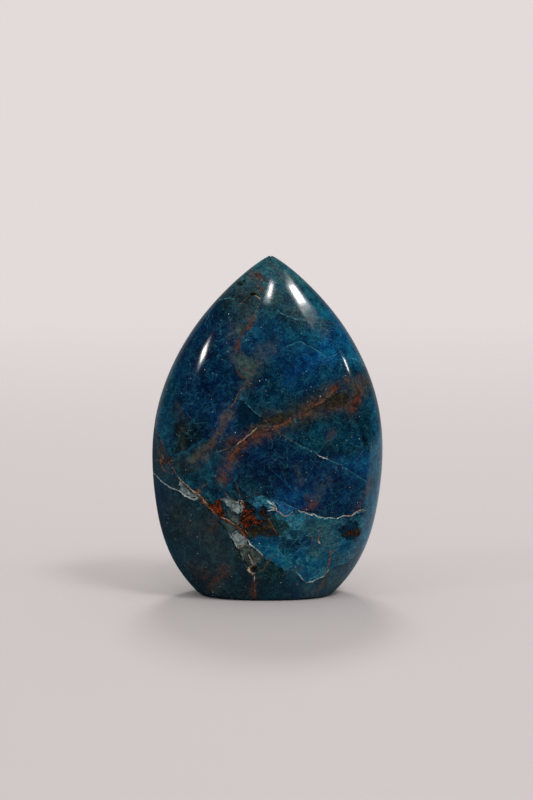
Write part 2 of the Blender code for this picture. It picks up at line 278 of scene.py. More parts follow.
    (FRONT, "white", 0.12, 0.7, 0.0, [(7.2, 8.4), (8.2, 7.3), (9.2, 6.3), (10.0, 5.5)]),
    (FRONT, "white", 0.13, 0.8, 0.7, PALE_BOUNDARY[:6]),
    (FRONT, "ice", 0.13, 0.8, 0.6, PALE_BOUNDARY[5:]),
    (FRONT, "white", 0.12, 0.75, 0.0, [
        (-31.4, 33.2), (-29.8, 32.6), (-28.9, 32.0), (-27.8, 31.2), (-26.7, 30.6), (-25.7, 30.0),
        (-24.4, 29.8), (-22.8, 29.2),
    ]),
    (FRONT, "white", 0.17, 0.95, 0.0, [
        (-23.2, 29.4), (-22.4, 29.0), (-21.8, 28.3), (-20.7, 28.0), (-19.9, 27.4), (-18.6, 27.3),
        (-18.0, 27.8),
    ]),
    (FRONT, "black", 0.26, 0.8, 0.0, [(-21.6, 27.9), (-20.2, 27.1), (-18.6, 26.6), (-17.0, 25.4)]),
    (FRONT, "black", 0.30, 0.9, 0.0, JAGGED_EDGE),
    (FRONT, "black", 0.42, 0.8, 0.0, [(-8.2, 14.4), (-7.2, 13.0), (-6.6, 11.8), (-5.8, 10.6)]),
    (FRONT, "white", 0.15, 0.95, 0.0, [
        (-10.2, 18.9), (-9.5, 17.8), (-8.8, 16.8), (-8.4, 15.8), (-8.2, 15.0), (-7.4, 14.7),
    ]),
    (FRONT, "white", 0.12, 0.7, 0.0, [(-7.1, 13.6), (-6.6, 12.6), (-6.4, 11.4), (-5.9, 10.6)]),
    (FRONT, "white", 0.155, 1.0, 0.0, WHITE_CRACK[:14]),
    (FRONT, "white", 0.145, 1.0, 0.0, WHITE_CRACK[13:18]),
    (FRONT, "cream", 0.155, 0.95, 0.0, WHITE_CRACK[16:]),
    # Painted shadow: a black line just above the white crack, with painted shade spreading above it from its
    # ledge.
    (FRONT, "black", 0.15, 0.85, -0.7, [
        (8.2, 24.9), (9.4, 24.5), (10.6, 24.0), (11.8, 24.0), (13.0, 23.2), (14.6, 23.1),
        (16.4, 22.9), (18.0, 22.5),
    ]),
    (FRONT, "ice", 0.34, 0.8, 0.0, [(21.8, 23.0), (22.8, 23.2), (24.0, 23.2), (25.0, 23.4)]),
    (FRONT, "white", 0.20, 0.9, 0.0, [(0.1, 27.7), (0.8, 26.8), (1.5, 26.1), (2.3, 25.6)]),
    (FRONT, "white", 0.14, 0.95, 0.0, [(1.2, 27.3), (1.7, 26.4), (2.2, 25.5), (2.4, 24.7)]),
    (FRONT, "cream", 0.17, 0.95, 0.0, [(0.4, 25.9), (1.3, 25.4), (2.1, 25.1), (2.5, 24.6)]),
    (FRONT, "white", 0.15, 0.9, 0.0, [(-0.2, 24.7), (0.6, 24.9), (1.4, 25.0), (2.0, 24.6)]),
    (FRONT, "ice", 0.12, 0.9, 0.0, [(-0.4, 26.4), (0.5, 25.8), (1.0, 25.2)]),
    (FRONT, "cream", 0.14, 0.95, 0.3, [
        (2.3, 24.8), (2.9, 24.1), (3.4, 24.3), (4.0, 23.5), (4.8, 23.2), (5.6, 23.4), (6.1, 24.0),
        (6.6, 24.5),
    ]),
    (FRONT, "ice", 0.13, 0.9, 0.0, [(3.2, 27.2), (4.3, 26.8), (5.4, 26.1), (6.6, 25.3), (7.8, 24.8)]),
    (FRONT, "ice", 0.13, 0.85, -0.7, [(-3.0, 28.0), (-2.0, 28.4), (-0.8, 28.7), (0.1, 28.2), (0.8, 27.4)]),
    (FRONT, "ice", 0.11, 0.7, 0.0, [(-3.0, 26.6), (-1.8, 26.0), (-0.8, 26.4), (0.2, 25.8)]),
    (FRONT, "ice", 0.11, 0.75, 0.0, [(3.2, 25.9), (4.2, 25.0), (5.4, 24.9), (6.2, 24.6)]),
    (FRONT, "blue", 0.12, 0.9, 0.35, [(-7.8, 31.6), (-6.2, 30.2), (-4.6, 28.9), (-3.0, 27.8)]),
    (FRONT, "blue", 0.10, 0.6, 0.0, [(3.2, 34.6), (5.2, 31.8), (7.4, 29.0), (8.8, 27.2)]),
    (FRONT, "blue", 0.10, 0.55, 0.0, [(0.8, 35.6), (4.0, 32.7), (7.6, 28.6)]),
    (FRONT, "blue", 0.10, 0.55, 0.0, [(12.1, 35.3), (15.2, 31.9), (19.3, 26.0), (20.6, 24.0)]),
    (FRONT, "tan", 0.13, 0.6, 0.0, [(-8.8, 33.2), (-7.9, 31.8), (-7.6, 30.4), (-7.3, 28.6), (-7.2, 27.6)]),
    (FRONT, "tan", 0.12, 0.65, 0.0, [(-11.6, 30.2), (-10.4, 28.9), (-9.2, 27.8), (-8.4, 27.2)]),
    (FRONT, "cream", 0.13, 0.9, 0.0, [(-9.6, 27.4), (-8.6, 27.2), (-7.6, 27.0)]),
    (FRONT, "black", 0.17, 0.9, 0.0, [(-9.8, 27.8), (-9.0, 27.5), (-8.2, 27.5)]),
    (FRONT, "black", 0.22, 0.9, 0.0, [(-13.6, 28.2), (-12.9, 27.6), (-12.4, 27.4)]),
    (FRONT, "tan", 0.20, 0.6, 0.0, [(-17.8, 30.2), (-16.6, 31.0), (-15.7, 31.7)]),
    (FRONT, "blue", 0.10, 0.5, 0.0, [(-24.2, 33.0), (-20.2, 33.8), (-17.4, 35.2), (-13.8, 36.8)]),
    (FRONT, "ice", 0.10, 0.6, 0.2, [(5.4, 21.4), (6.6, 20.2), (7.2, 19.3), (9.0, 20.6), (9.8, 21.6)]),
    (FRONT, "ice", 0.10, 0.6, 0.0, [(5.6, 21.6), (7.2, 21.8), (8.8, 21.7), (9.8, 20.9)]),
    (FRONT, "blue", 0.10, 0.8, 0.0, [(6.4, 15.0), (8.0, 13.6), (10.6, 14.8), (12.4, 16.2)]),
    (FRONT, "blue", 0.10, 0.7, 0.0, [(4.2, 14.6), (5.6, 13.4), (7.6, 12.9), (9.0, 13.8)]),
    (FRONT, "blue", 0.10, 0.7, 0.0, [(7.0, 9.0), (8.4, 9.9), (9.6, 10.5), (10.3, 11.4), (10.9, 12.8)]),
    (FRONT, "ice", 0.09, 0.6, 0.0, [(14.6, 20.0), (16.2, 18.9), (17.6, 17.5), (19.2, 16.9)]),
    (FRONT, "tan", 0.22, 0.6, 0.0, [(14.3, 20.6), (14.2, 19.2), (13.7, 17.9)]),
    (FRONT, "orange", 0.26, 0.8, 0.0, [(13.9, 18.1), (13.4, 17.2), (13.5, 16.4)]),
    (FRONT, "cream", 0.20, 0.95, 0.0, [(13.5, 16.6), (13.7, 16.1), (14.1, 15.4)]),
    (FRONT, "tan", 0.26, 0.9, 0.0, [(13.6, 16.0), (14.3, 15.0), (15.2, 13.9), (16.0, 13.3), (17.0, 13.0), (17.9, 13.5)]),
    (FRONT, "black", 0.12, 0.7, 0.0, [(13.9, 15.9), (14.7, 14.9), (15.6, 13.8)]),
    (FRONT, "tan", 0.34, 0.9, 0.0, BROWN_TRUNK[:6]),
    (FRONT, "umber", 0.60, 0.8, 0.0, BROWN_TRUNK[3:8]),
    (FRONT, "tan", 0.30, 0.75, 0.0, BROWN_TRUNK[5:]),
    (FRONT, "umber", 0.45, 0.6, 0.0, [(18.0, 13.0), (18.3, 11.8), (18.4, 10.6), (18.6, 9.6)]),
    (FRONT, "tan", 0.12, 0.5, 0.0, [(17.9, 13.5), (18.6, 14.8), (18.4, 16.2)]),
    (FRONT, "umber", 0.26, 0.7, 0.0, [(11.2, 21.4), (11.8, 19.6), (11.5, 18.2)]),
    (FRONT, "tan", 0.28, 0.8, 0.0, [(11.6, 18.0), (11.9, 17.0), (11.7, 16.2)]),
    (FRONT, "umber", 0.42, 0.8, 0.0, [(10.3, 23.2), (10.3, 22.0), (9.7, 20.8)]),
    (FRONT, "dust", 0.50, 0.75, 0.0, [(2.5, 14.4), (1.9, 13.2), (1.2, 12.4), (0.6, 11.8)]),
    (FRONT, "tan", 0.17, 0.75, 0.0, [(3.0, 16.6), (2.8, 15.4), (2.4, 14.0)]),
    (FRONT, "tan", 0.20, 0.75, 0.0, [
        (0.9, 12.0), (0.2, 11.0), (-0.4, 10.0), (-0.9, 9.1), (-1.6, 8.4), (-2.6, 8.0),
    ]),
    (FRONT, "black", 0.34, 0.8, 0.0, [(-5.4, 13.2), (-4.9, 12.0), (-4.3, 10.8)]),
    (FRONT, "cream", 0.19, 0.95, 0.0, [(-5.2, 13.1), (-4.8, 12.2), (-4.3, 11.2), (-3.8, 10.1)]),
    (FRONT, "tan", 0.28, 0.7, 0.0, [(-4.2, 12.6), (-3.5, 12.0), (-3.2, 11.4)]),
    (FRONT, "cream", 0.30, 0.95, 0.0, [
        (-4.1, 10.1), (-4.7, 9.4), (-4.7, 8.5), (-4.2, 7.9), (-3.4, 7.6), (-2.8, 7.8),
    ]),
    (FRONT, "umber", 0.65, 0.75, 0.0, [(-3.5, 7.2), (-3.4, 5.4), (-3.5, 3.2), (-3.3, 0.9)]),
    (FRONT, "rust", 0.26, 0.7, 0.0, [(-3.4, 5.0), (-3.5, 3.6), (-3.2, 1.6)]),
    (FRONT, "white", 0.12, 0.8, 0.0, [(-3.3, 7.4), (-3.2, 6.6), (-3.3, 5.6)]),
    (FRONT, "cream", 0.15, 0.9, 0.0, [(-3.4, 3.2), (-3.3, 2.6), (-3.5, 2.2)]),
    (FRONT, "tan", 0.17, 0.9, 0.0, [(-8.1, 14.9), (-7.0, 15.1), (-6.0, 15.6), (-5.2, 16.5)]),
    (FRONT, "cream", 0.12, 0.8, 0.0, [(-7.6, 15.0), (-6.4, 15.4), (-5.8, 15.9)]),
    (FRONT, "umber", 0.40, 0.7, 0.0, [(-13.2, 22.4), (-13.4, 21.0), (-14.2, 19.6), (-14.8, 18.0)]),
    (FRONT, "umber", 0.45, 0.75, 0.0, [(-11.2, 9.2), (-12.2, 7.4), (-13.2, 6.2), (-14.8, 4.4), (-15.8, 2.6)]),
    (FRONT, "rust", 0.26, 0.65, 0.0, [(-9.3, 7.2), (-11.0, 6.8), (-12.6, 6.3), (-14.8, 5.8)]),
    (FRONT, "dust", 0.12, 0.6, 0.0, [(-8.0, 0.8), (-7.0, 1.4), (-6.0, 2.4), (-5.2, 3.6)]),
    (FRONT, "tan", 0.26, 0.6, 0.0, [(4.6, 7.8), (4.2, 7.2), (3.6, 6.8)]),
    (FRONT, "cream", 0.20, 0.9, 0.0, [(7.5, 4.8), (8.1, 4.7)]),
    (FRONT, "tan", 0.12, 0.75, 0.2, [(-0.1, 23.0), (0.8, 21.6), (1.6, 20.2), (2.3, 18.8), (2.9, 17.8)]),
    (FRONT, "umber", 0.50, 0.95, 0.0, [(9.5, 29.1), (10.1, 28.0), (10.7, 27.0), (11.3, 26.0)]),
    (FRONT, "black", 0.20, 0.7, 0.0, [(9.8, 28.4), (10.3, 27.6), (10.9, 26.6)]),
    (FRONT, "rust", 0.55, 0.8, 0.0, [(10.4, 25.0), (11.4, 25.4), (12.3, 26.2), (12.6, 27.4)]),
    (FRONT, "black", 0.14, 0.85, 0.3, [(22.0, 22.3), (23.0, 21.3), (24.0, 20.0), (24.8, 18.6), (24.7, 17.8)]),
    (FRONT, "black", 0.20, 0.85, 0.0, [(3.0, 22.8), (3.9, 22.0), (4.7, 21.5), (5.3, 20.8), (5.5, 20.0)]),
    (FRONT, "black", 0.26, 0.6, 0.0, [(1.6, 22.4), (2.8, 21.0), (4.0, 19.9)]),
    (FRONT, "black", 0.22, 0.55, 0.0, [(2.2, 20.6), (3.4, 19.4), (4.2, 18.9)]),
    (FRONT, "tan", 0.30, 0.5, 0.0, [(27.6, 21.2), (27.0, 19.8), (26.0, 18.9)]),
    (FRONT, "blue", 0.11, 0.5, 0.0, [(-22.6, 52.0), (-20.4, 49.0), (-17.2, 46.8)]),
    (FRONT, "blue", 0.10, 0.45, 0.0, [(21.8, 50.4), (22.6, 46.4), (24.4, 42.6)]),
    (BACK, "umber", 1.0, 0.8, 0.0, BACK_VEIN),
    (BACK, "rust", 0.45, 0.8, 0.0, BACK_VEIN[1:6]),
    (BACK, "umber", 1.0, 0.6, 0.0, [
        (4.6, 70.0), (5.6, 66.4), (4.4, 62.6), (6.6, 58.8), (5.0, 55.0), (6.4, 50.6),
    ]),
    (BACK, "rust", 0.5, 0.8, 0.0, [(4.6, 70.0), (5.6, 66.4), (4.4, 62.6), (6.6, 58.8)]),
    (BACK, "ice", 0.14, 0.75, -0.4, BACK_CRACK[:5]),
    (BACK, "ice", 0.12, 0.6, -0.3, BACK_CRACK[4:]),
    (BACK, "white", 0.19, 0.95, 0.0, [
        (27.6, 23.4), (26.0, 23.6), (23.0, 24.8), (19.0, 24.0), (15.4, 26.2), (12.0, 25.8),
        (9.4, 27.6),
    ]),
    (BACK, "black", 0.15, 0.8, 0.6, [
        (26.0, 24.2), (23.0, 25.4), (19.0, 24.6), (15.4, 26.8), (12.0, 26.4),
    ]),
    (BACK, "ice", 0.12, 0.65, 0.2, [
        (-17.4, 65.0), (-16.0, 66.0), (-12.0, 68.6), (-8.4, 68.0), (-4.0, 71.4), (1.0, 72.0),
    ]),
    (BACK, "white", 0.13, 0.7, 0.5, [
        (-22.0, 11.0), (-17.0, 12.6), (-12.6, 11.4), (-8.0, 14.0), (-3.0, 13.2), (2.0, 16.8),
        (6.0, 17.6),
    ]),
    (BACK, "blue", 0.11, 0.6, 0.0, [(-20.0, 58.0), (-14.0, 52.0), (-9.0, 45.0)]),
    (BACK, "blue", 0.11, 0.6, 0.0, [(18.0, 38.0), (12.0, 33.0), (9.0, 29.0)]),
    (BACK, "tan", 0.17, 0.85, -0.35, BACK_SEAM[:10]),
    (BACK, "cream", 0.16, 0.9, -0.35, BACK_SEAM[9:14]),
    (BACK, "black", 0.20, 0.9, -0.6, BACK_SEAM[13:]),
    (BACK, "dust", 0.8, 0.8, 0.0, [(-14.0, 41.0), (-13.0, 37.0), (-14.8, 33.6), (-13.6, 29.0)]),
    (BACK, "tan", 0.26, 0.7, 0.0, [(7.0, 26.0), (6.0, 21.0), (8.2, 15.6), (6.8, 9.8), (8.0, 1.0)]),
    (BACK, "umber", 0.35, 0.7, 0.0, [(-24.0, 22.0), (-19.4, 23.6), (-16.0, 21.0), (-11.4, 21.6)]),
]

# The lines that are open cracks, cut into the polish: the side, half the width, the depth, route.
CUTS = [
    (FRONT, 0.36, 0.26, UPPER_SEAM),
    (FRONT, 0.50, 0.30, CRUSTED_SEAM),
    (FRONT, 0.30, 0.24, TAN_SEAM + LOWER_SEAM[1:]),
    (FRONT, 0.40, 0.22, JAGGED_EDGE),
    (FRONT, 0.28, 0.14, WHITE_CRACK),
    (FRONT, 0.22, 0.08, PALE_BOUNDARY),
    (FRONT, 0.35, 0.12, BROWN_LINE),
    (FRONT, 0.35, 0.12, [(-4.9, 80.3), (-3.8, 80.3), (-2.8, 79.8), (-1.8, 79.1)]),
    (FRONT, 0.40, 0.08, BROWN_TRUNK),
    (BACK, 0.40, 0.28, BACK_SEAM),
]

# What a patch is made of: two colours that mingle in it, how crusty it is from 0 to 1, how softly
# its edge runs out in millimetres, and how strongly a pale net of cracks shows in it.
PATCH_STONES = {
    "rust": ((15, 7, 5), (156, 62, 22), 1.0, 0.05, 0.0),
    "dark rust": ((16, 10, 7), (74, 38, 20), 0.9, 0.25, 0.0),
    "tan": ((60, 38, 26), (172, 130, 98), 0.9, 0.05, 0.0),
    "cream": ((128, 100, 80), (222, 198, 174), 0.6, 0.05, 0.0),
    "ice": ((76, 94, 95), (170, 184, 182), 0.4, 0.05, 0.25),
    "dull ice": ((32, 50, 50), (104, 114, 106), 0.35, 0.2, 0.1),
    "olive": ((22, 27, 23), (66, 56, 38), 0.4, 0.4, 0.0),
    "black": ((4, 8, 8), (26, 26, 20), 0.3, 0.1, 0.0),
    "green": ((3, 26, 32), (14, 62, 68), 0.25, 0.15, 0.15),
    "bright blue": ((0, 58, 108), (8, 100, 144), 0.1, 0.12, 0.35),
    "cyan": ((6, 78, 104), (34, 122, 140), 0.1, 0.15, 0.5),
    "glass": ((0, 27, 46), (3, 42, 64), 0.0, 0.3, 0.0),
    "grey": ((38, 60, 64), (76, 92, 88), 0.0, 0.7, 0.0),
    "misty": ((26, 70, 84), (54, 98, 108), 0.0, 0.7, 0.2),
    "violet": ((14, 48, 74), (58, 74, 88), 0.0, 0.9, 0.0),
    "red": ((36, 30, 26), (104, 48, 30), 0.0, 0.7, 0.0),
}

# Every patch: the side, what it is made of, and its outline.
PATCHES = [
    (FRONT, "tan", [
        (-19.5, 29.5), (-18.8, 30.2), (-17.9, 29.9), (-17.3, 28.8), (-16.4, 27.6), (-15.4, 26.8),
        (-14.2, 26.0), (-14.8, 25.0), (-15.8, 25.4), (-17.0, 26.6), (-18.0, 27.8), (-19.0, 28.6),
    ]),
    (FRONT, "rust", [
        (-14.4, 25.8), (-13.6, 26.5), (-12.8, 27.1), (-12.1, 27.4), (-11.7, 26.7), (-11.2, 26.1),
        (-11.5, 25.2), (-10.8, 24.0), (-10.7, 22.9), (-11.4, 22.2), (-12.4, 22.6), (-13.4, 23.6),
        (-14.6, 24.6), (-15.2, 25.4),
    ]),
    (FRONT, "rust", [
        (-6.5, 26.1), (-5.8, 25.6), (-5.0, 25.1), (-4.0, 24.7), (-3.2, 24.4), (-2.7, 23.6),
        (-2.5, 22.8), (-1.5, 22.4), (-0.8, 21.7), (-1.2, 20.8), (-2.6, 20.5), (-4.0, 20.2),
        (-5.6, 20.2), (-7.0, 20.6), (-7.6, 21.6), (-7.4, 23.0), (-6.8, 24.3),
    ]),
    (FRONT, "dark rust", [
        (-2.3, 24.5), (-1.5, 25.6), (-0.8, 25.7), (-0.1, 24.8), (0.0, 23.9), (-0.7, 22.6),
        (-1.7, 22.6), (-2.4, 23.5),
    ]),
    (FRONT, "rust", [
        (-10.8, 22.5), (-9.6, 22.0), (-8.2, 21.2), (-7.0, 20.2), (-6.2, 19.2), (-5.4, 17.8),
        (-5.9, 17.9), (-7.0, 19.2), (-8.3, 20.3), (-9.6, 21.2), (-11.2, 22.0),
    ]),
    (FRONT, "rust", [
        (-4.2, 9.5), (-3.7, 9.9), (-3.1, 9.7), (-2.8, 9.0), (-3.0, 8.4), (-3.5, 8.1), (-4.0, 8.4),
        (-4.3, 9.0),
    ]),
    (FRONT, "cream", [
        (-7.9, 26.9), (-7.3, 27.5), (-6.6, 27.4), (-6.2, 26.4), (-5.8, 25.7), (-6.5, 25.6),
        (-7.1, 26.1),
    ]),
    (FRONT, "ice", [
        (-22.8, 32.0), (-21.4, 31.0), (-20.2, 29.9), (-19.2, 28.9), (-18.2, 27.9), (-18.4, 27.4),
        (-19.9, 27.5), (-20.7, 28.1), (-21.8, 28.4), (-22.6, 29.2), (-23.2, 30.4),
    ]),
    (FRONT, "ice", [
        (-12.0, 27.5), (-11.1, 28.1), (-10.5, 28.3), (-9.9, 27.5), (-8.9, 27.0), (-7.8, 26.9),
        (-7.2, 26.2), (-6.8, 25.3), (-6.9, 24.3), (-7.3, 23.6), (-8.2, 24.0), (-8.9, 24.7),
        (-9.7, 24.7), (-10.4, 25.5), (-11.2, 26.6),
    ]),
    (FRONT, "dull ice", [
        (-10.8, 25.1), (-9.8, 24.5), (-8.8, 24.0), (-7.6, 23.5), (-7.5, 21.8), (-7.0, 20.7),
        (-8.4, 21.3), (-9.8, 22.1), (-10.7, 22.9),
    ]),
    (FRONT, "grey", [
        (-12.2, 21.4), (-10.6, 22.0), (-8.4, 20.6), (-6.9, 19.3), (-8.0, 18.4), (-9.8, 18.4),
        (-11.0, 19.8),
    ]),
    (FRONT, "ice", [
        (-9.6, 18.4), (-8.0, 18.9), (-6.8, 19.2), (-5.8, 17.9), (-5.0, 16.7), (-3.9, 15.4),
        (-4.6, 14.6), (-6.4, 15.2), (-8.2, 14.9), (-8.8, 16.4),
    ]),
    (FRONT, "dull ice", [
        (-8.2, 14.8), (-6.4, 15.2), (-4.6, 14.8), (-3.6, 15.0), (-2.6, 13.9), (-1.2, 12.4),
        (-1.4, 11.4), (-2.6, 10.4), (-3.6, 9.9), (-4.8, 8.6), (-6.0, 10.4), (-6.9, 12.0),
        (-7.6, 13.6),
    ]),
    (FRONT, "green", [
        (-3.0, 10.4), (-1.2, 11.8), (0.2, 11.4), (1.6, 10.6), (3.0, 9.3), (4.6, 7.8), (3.4, 6.4),
        (1.6, 5.4), (-0.8, 5.8), (-2.4, 7.2), (-2.8, 9.0),
    ]),
    (FRONT, "olive", [
        (-0.6, 22.4), (0.2, 22.3), (1.4, 20.4), (2.7, 18.2), (0.6, 17.9), (-1.4, 18.2),
        (-3.4, 17.8), (-4.4, 17.8), (-5.8, 19.5), (-4.0, 20.2), (-1.2, 20.8),
    ]),
    (FRONT, "dark rust", [(-4.8, 20.3), (-2.8, 20.8), (-1.0, 20.6), (0.2, 19.8), (-1.2, 19.0),
                          (-3.2, 18.8), (-4.8, 19.2)]),
    (FRONT, "tan", [(-0.9, 21.2), (-0.1, 21.0), (0.0, 20.4), (-0.7, 20.4)]),
    (FRONT, "green", [
        (0.1, 24.5), (1.1, 24.2), (2.0, 23.4), (2.8, 22.6), (3.8, 22.0), (5.0, 21.4), (5.5, 20.6),
        (5.2, 19.8), (4.6, 19.1), (3.6, 18.5), (2.9, 18.0), (1.8, 20.0), (0.6, 22.2),
        (-0.1, 23.4),
    ]),
    (FRONT, "glass", [
        (19.2, 19.8), (20.6, 21.0), (22.0, 22.0), (23.2, 21.0), (24.2, 19.6), (24.7, 18.0),
        (24.0, 16.2), (22.8, 15.6), (21.2, 16.2), (19.8, 17.2), (18.6, 18.4),
    ]),
    (FRONT, "dark rust", [
        (21.3, 18.7), (22.6, 18.9), (23.5, 18.5), (24.2, 17.9), (24.1, 16.9), (23.2, 16.7),
        (22.4, 17.0), (21.4, 17.4), (20.2, 17.5),
    ]),
    (FRONT, "black", [(19.3, 19.9), (19.8, 19.9), (19.9, 19.3), (19.4, 19.2)]),
    (FRONT, "black", [
        (-6.2, 27.1), (-5.6, 26.9), (-4.6, 26.1), (-3.8, 25.3), (-2.8, 24.9), (-2.3, 24.3),
        (-2.8, 23.9), (-4.1, 24.8), (-5.2, 25.4), (-6.0, 26.0),
    ]),
    (FRONT, "cyan", [
        (-3.6, 27.5), (-2.6, 28.2), (-1.0, 28.7), (-0.2, 28.2), (0.6, 27.2), (0.0, 26.0),
        (-1.2, 26.2), (-2.2, 25.0), (-3.4, 25.9), (-4.7, 27.0),
    ]),
    (FRONT, "cyan", [(-0.1, 26.0), (0.6, 27.3), (1.6, 27.2), (2.3, 25.8), (2.4, 24.6), (1.0, 24.6),
                     (-0.1, 24.8)]),
    (FRONT, "bright blue", [
        (1.8, 27.5), (3.1, 27.2), (4.3, 26.7), (5.4, 26.0), (6.7, 25.2), (6.3, 24.3), (5.6, 23.5),
        (4.4, 23.3), (3.4, 23.6), (2.6, 24.6), (2.4, 25.8),
    ]),
    (FRONT, "cyan", [(1.7, 24.0), (2.5, 24.4), (3.5, 23.4), (5.4, 22.8), (5.8, 21.6), (4.6, 21.8),
                     (3.4, 22.3), (2.4, 23.1)]),
    (FRONT, "cyan", [(5.7, 23.2), (7.0, 24.2), (9.2, 23.6), (11.2, 23.0), (10.6, 21.2), (8.8, 20.6),
                     (7.2, 19.4), (5.8, 20.8)]),
    (FRONT, "misty", [(14.0, 18.4), (15.0, 19.6), (17.0, 19.0), (18.4, 17.4), (18.4, 15.2),
                     (17.6, 13.8), (16.2, 13.5), (14.6, 15.4)]),
    (FRONT, "misty", [(10.6, 15.0), (12.8, 15.6), (14.0, 14.2), (14.4, 11.8), (12.6, 11.2),
                     (10.6, 12.6)]),
    (FRONT, "grey", [
        (-8.2, 65.0), (-6.8, 65.3), (-5.8, 64.8), (-4.4, 64.0), (-3.2, 62.8), (-3.6, 60.8),
        (-4.6, 59.0), (-5.2, 57.8), (-6.4, 59.4), (-7.6, 61.2), (-8.3, 63.0),
    ]),
    (FRONT, "grey", [(-8.6, 72.4), (-7.0, 72.3), (-5.8, 71.8), (-6.2, 70.8), (-7.6, 69.8),
                     (-8.8, 70.6)]),
    (FRONT, "violet", [
        (-3.0, 67.6), (-1.0, 68.0), (0.8, 68.4), (2.6, 66.4), (3.2, 64.6), (1.0, 65.0),
        (-0.8, 65.2), (-1.8, 64.2), (-3.0, 65.4),
    ]),
    (FRONT, "violet", [(12.4, 31.8), (13.6, 31.0), (14.2, 27.4), (12.8, 26.0), (12.2, 28.4)]),
    (FRONT, "glass", [(-6.8, 53.2), (-4.9, 51.4), (-2.8, 49.6), (-1.4, 48.6), (-3.6, 47.2),
                      (-7.4, 47.6), (-7.9, 51.0)]),
    (FRONT, "red", [
        (16.4, 55.2), (17.0, 56.6), (18.2, 57.2), (19.0, 56.6), (18.2, 55.6), (17.2, 54.8),
    ]),
    (FRONT, "red", [
        (22.0, 51.0), (22.4, 52.6), (22.8, 54.4), (24.0, 54.6), (24.4, 53.2), (24.0, 51.8),
        (22.8, 50.0),
    ]),
    (FRONT, "red", [(23.6, 58.2), (23.8, 59.1), (24.5, 59.2), (24.6, 58.3)]),
    (FRONT, "olive", [
        (13.6, 51.6), (15.0, 53.0), (17.0, 54.2), (19.4, 54.8), (21.4, 53.8), (20.4, 52.2),
        (17.4, 51.6), (15.4, 51.0),
    ]),
    (FRONT, "olive", [(-0.6, 48.0), (1.2, 49.4), (4.0, 49.8), (6.4, 49.8), (4.8, 48.4), (2.6, 47.4)]),
    (FRONT, "black", [(-7.6, 83.0), (-6.6, 83.5), (-6.0, 83.2), (-6.4, 82.4), (-7.3, 82.2)]),
    (FRONT, "dark rust", [(-4.9, 80.6), (-3.9, 80.6), (-2.9, 80.1), (-2.6, 79.6), (-3.8, 79.9),
                          (-4.8, 80.1)]),
    (FRONT, "red", [(-2.0, 81.5), (-1.3, 81.9), (-0.8, 81.2), (-1.3, 80.6)]),
    (FRONT, "red", [(-2.8, 85.2), (-2.0, 85.4), (-1.3, 84.8), (-1.6, 83.9), (-2.6, 84.2)]),
    (FRONT, "red", [(-0.8, 84.5), (-0.2, 84.4), (-0.1, 83.9), (-0.7, 83.8)]),
    (FRONT, "tan", [(-28.1, 37.1), (-27.2, 37.3), (-26.7, 36.6), (-27.1, 36.0), (-27.9, 36.3)]),
    (FRONT, "tan", [(-26.1, 38.2), (-25.6, 38.3), (-25.3, 37.2), (-25.8, 36.8)]),
    (BACK, "rust", [
        (-16.0, 42.9), (-13.6, 43.2), (-11.4, 42.0), (-10.8, 40.2), (-12.6, 39.4), (-14.8, 40.0),
        (-16.2, 41.2),
    ]),
    (BACK, "tan", [(-19.4, 45.8), (-17.8, 45.0), (-16.2, 43.2), (-17.0, 42.2), (-18.6, 43.6)]),
    (BACK, "dark rust", [
        (5.2, 29.8), (7.6, 30.2), (9.0, 28.4), (8.4, 25.9), (6.6, 24.8), (5.4, 26.4), (4.6, 28.2),
    ]),
    (BACK, "black", [(4.0, 30.4), (5.0, 29.4), (4.4, 27.0), (2.8, 27.6), (2.2, 29.4)]),
    (BACK, "red", [(4.2, 67.8), (5.6, 68.0), (6.2, 66.2), (5.4, 64.2), (4.4, 64.8), (3.9, 66.2)]),
    (BACK, "ice", [
        (-11.0, 40.0), (-8.2, 38.6), (-5.4, 35.2), (-2.0, 32.8), (-3.6, 31.2), (-6.2, 31.8),
        (-8.4, 34.0), (-9.2, 36.6), (-11.6, 38.2),
    ]),
    (BACK, "dull ice", [(8.8, 25.2), (11.2, 23.2), (14.2, 22.4), (13.2, 20.2), (10.6, 20.8),
                        (8.8, 22.8)]),
    (BACK, "bright blue", [(9.6, 27.4), (12.0, 25.6), (15.2, 26.0), (13.4, 28.4), (11.0, 29.6)]),
    (BACK, "cyan", [(15.6, 25.8), (18.8, 23.8), (22.6, 24.4), (21.0, 21.6), (17.8, 21.8),
                    (15.0, 23.6)]),
    (BACK, "glass", [(-4.0, 60.0), (2.0, 57.4), (1.0, 51.8), (-5.0, 50.0), (-9.0, 54.6)]),
]

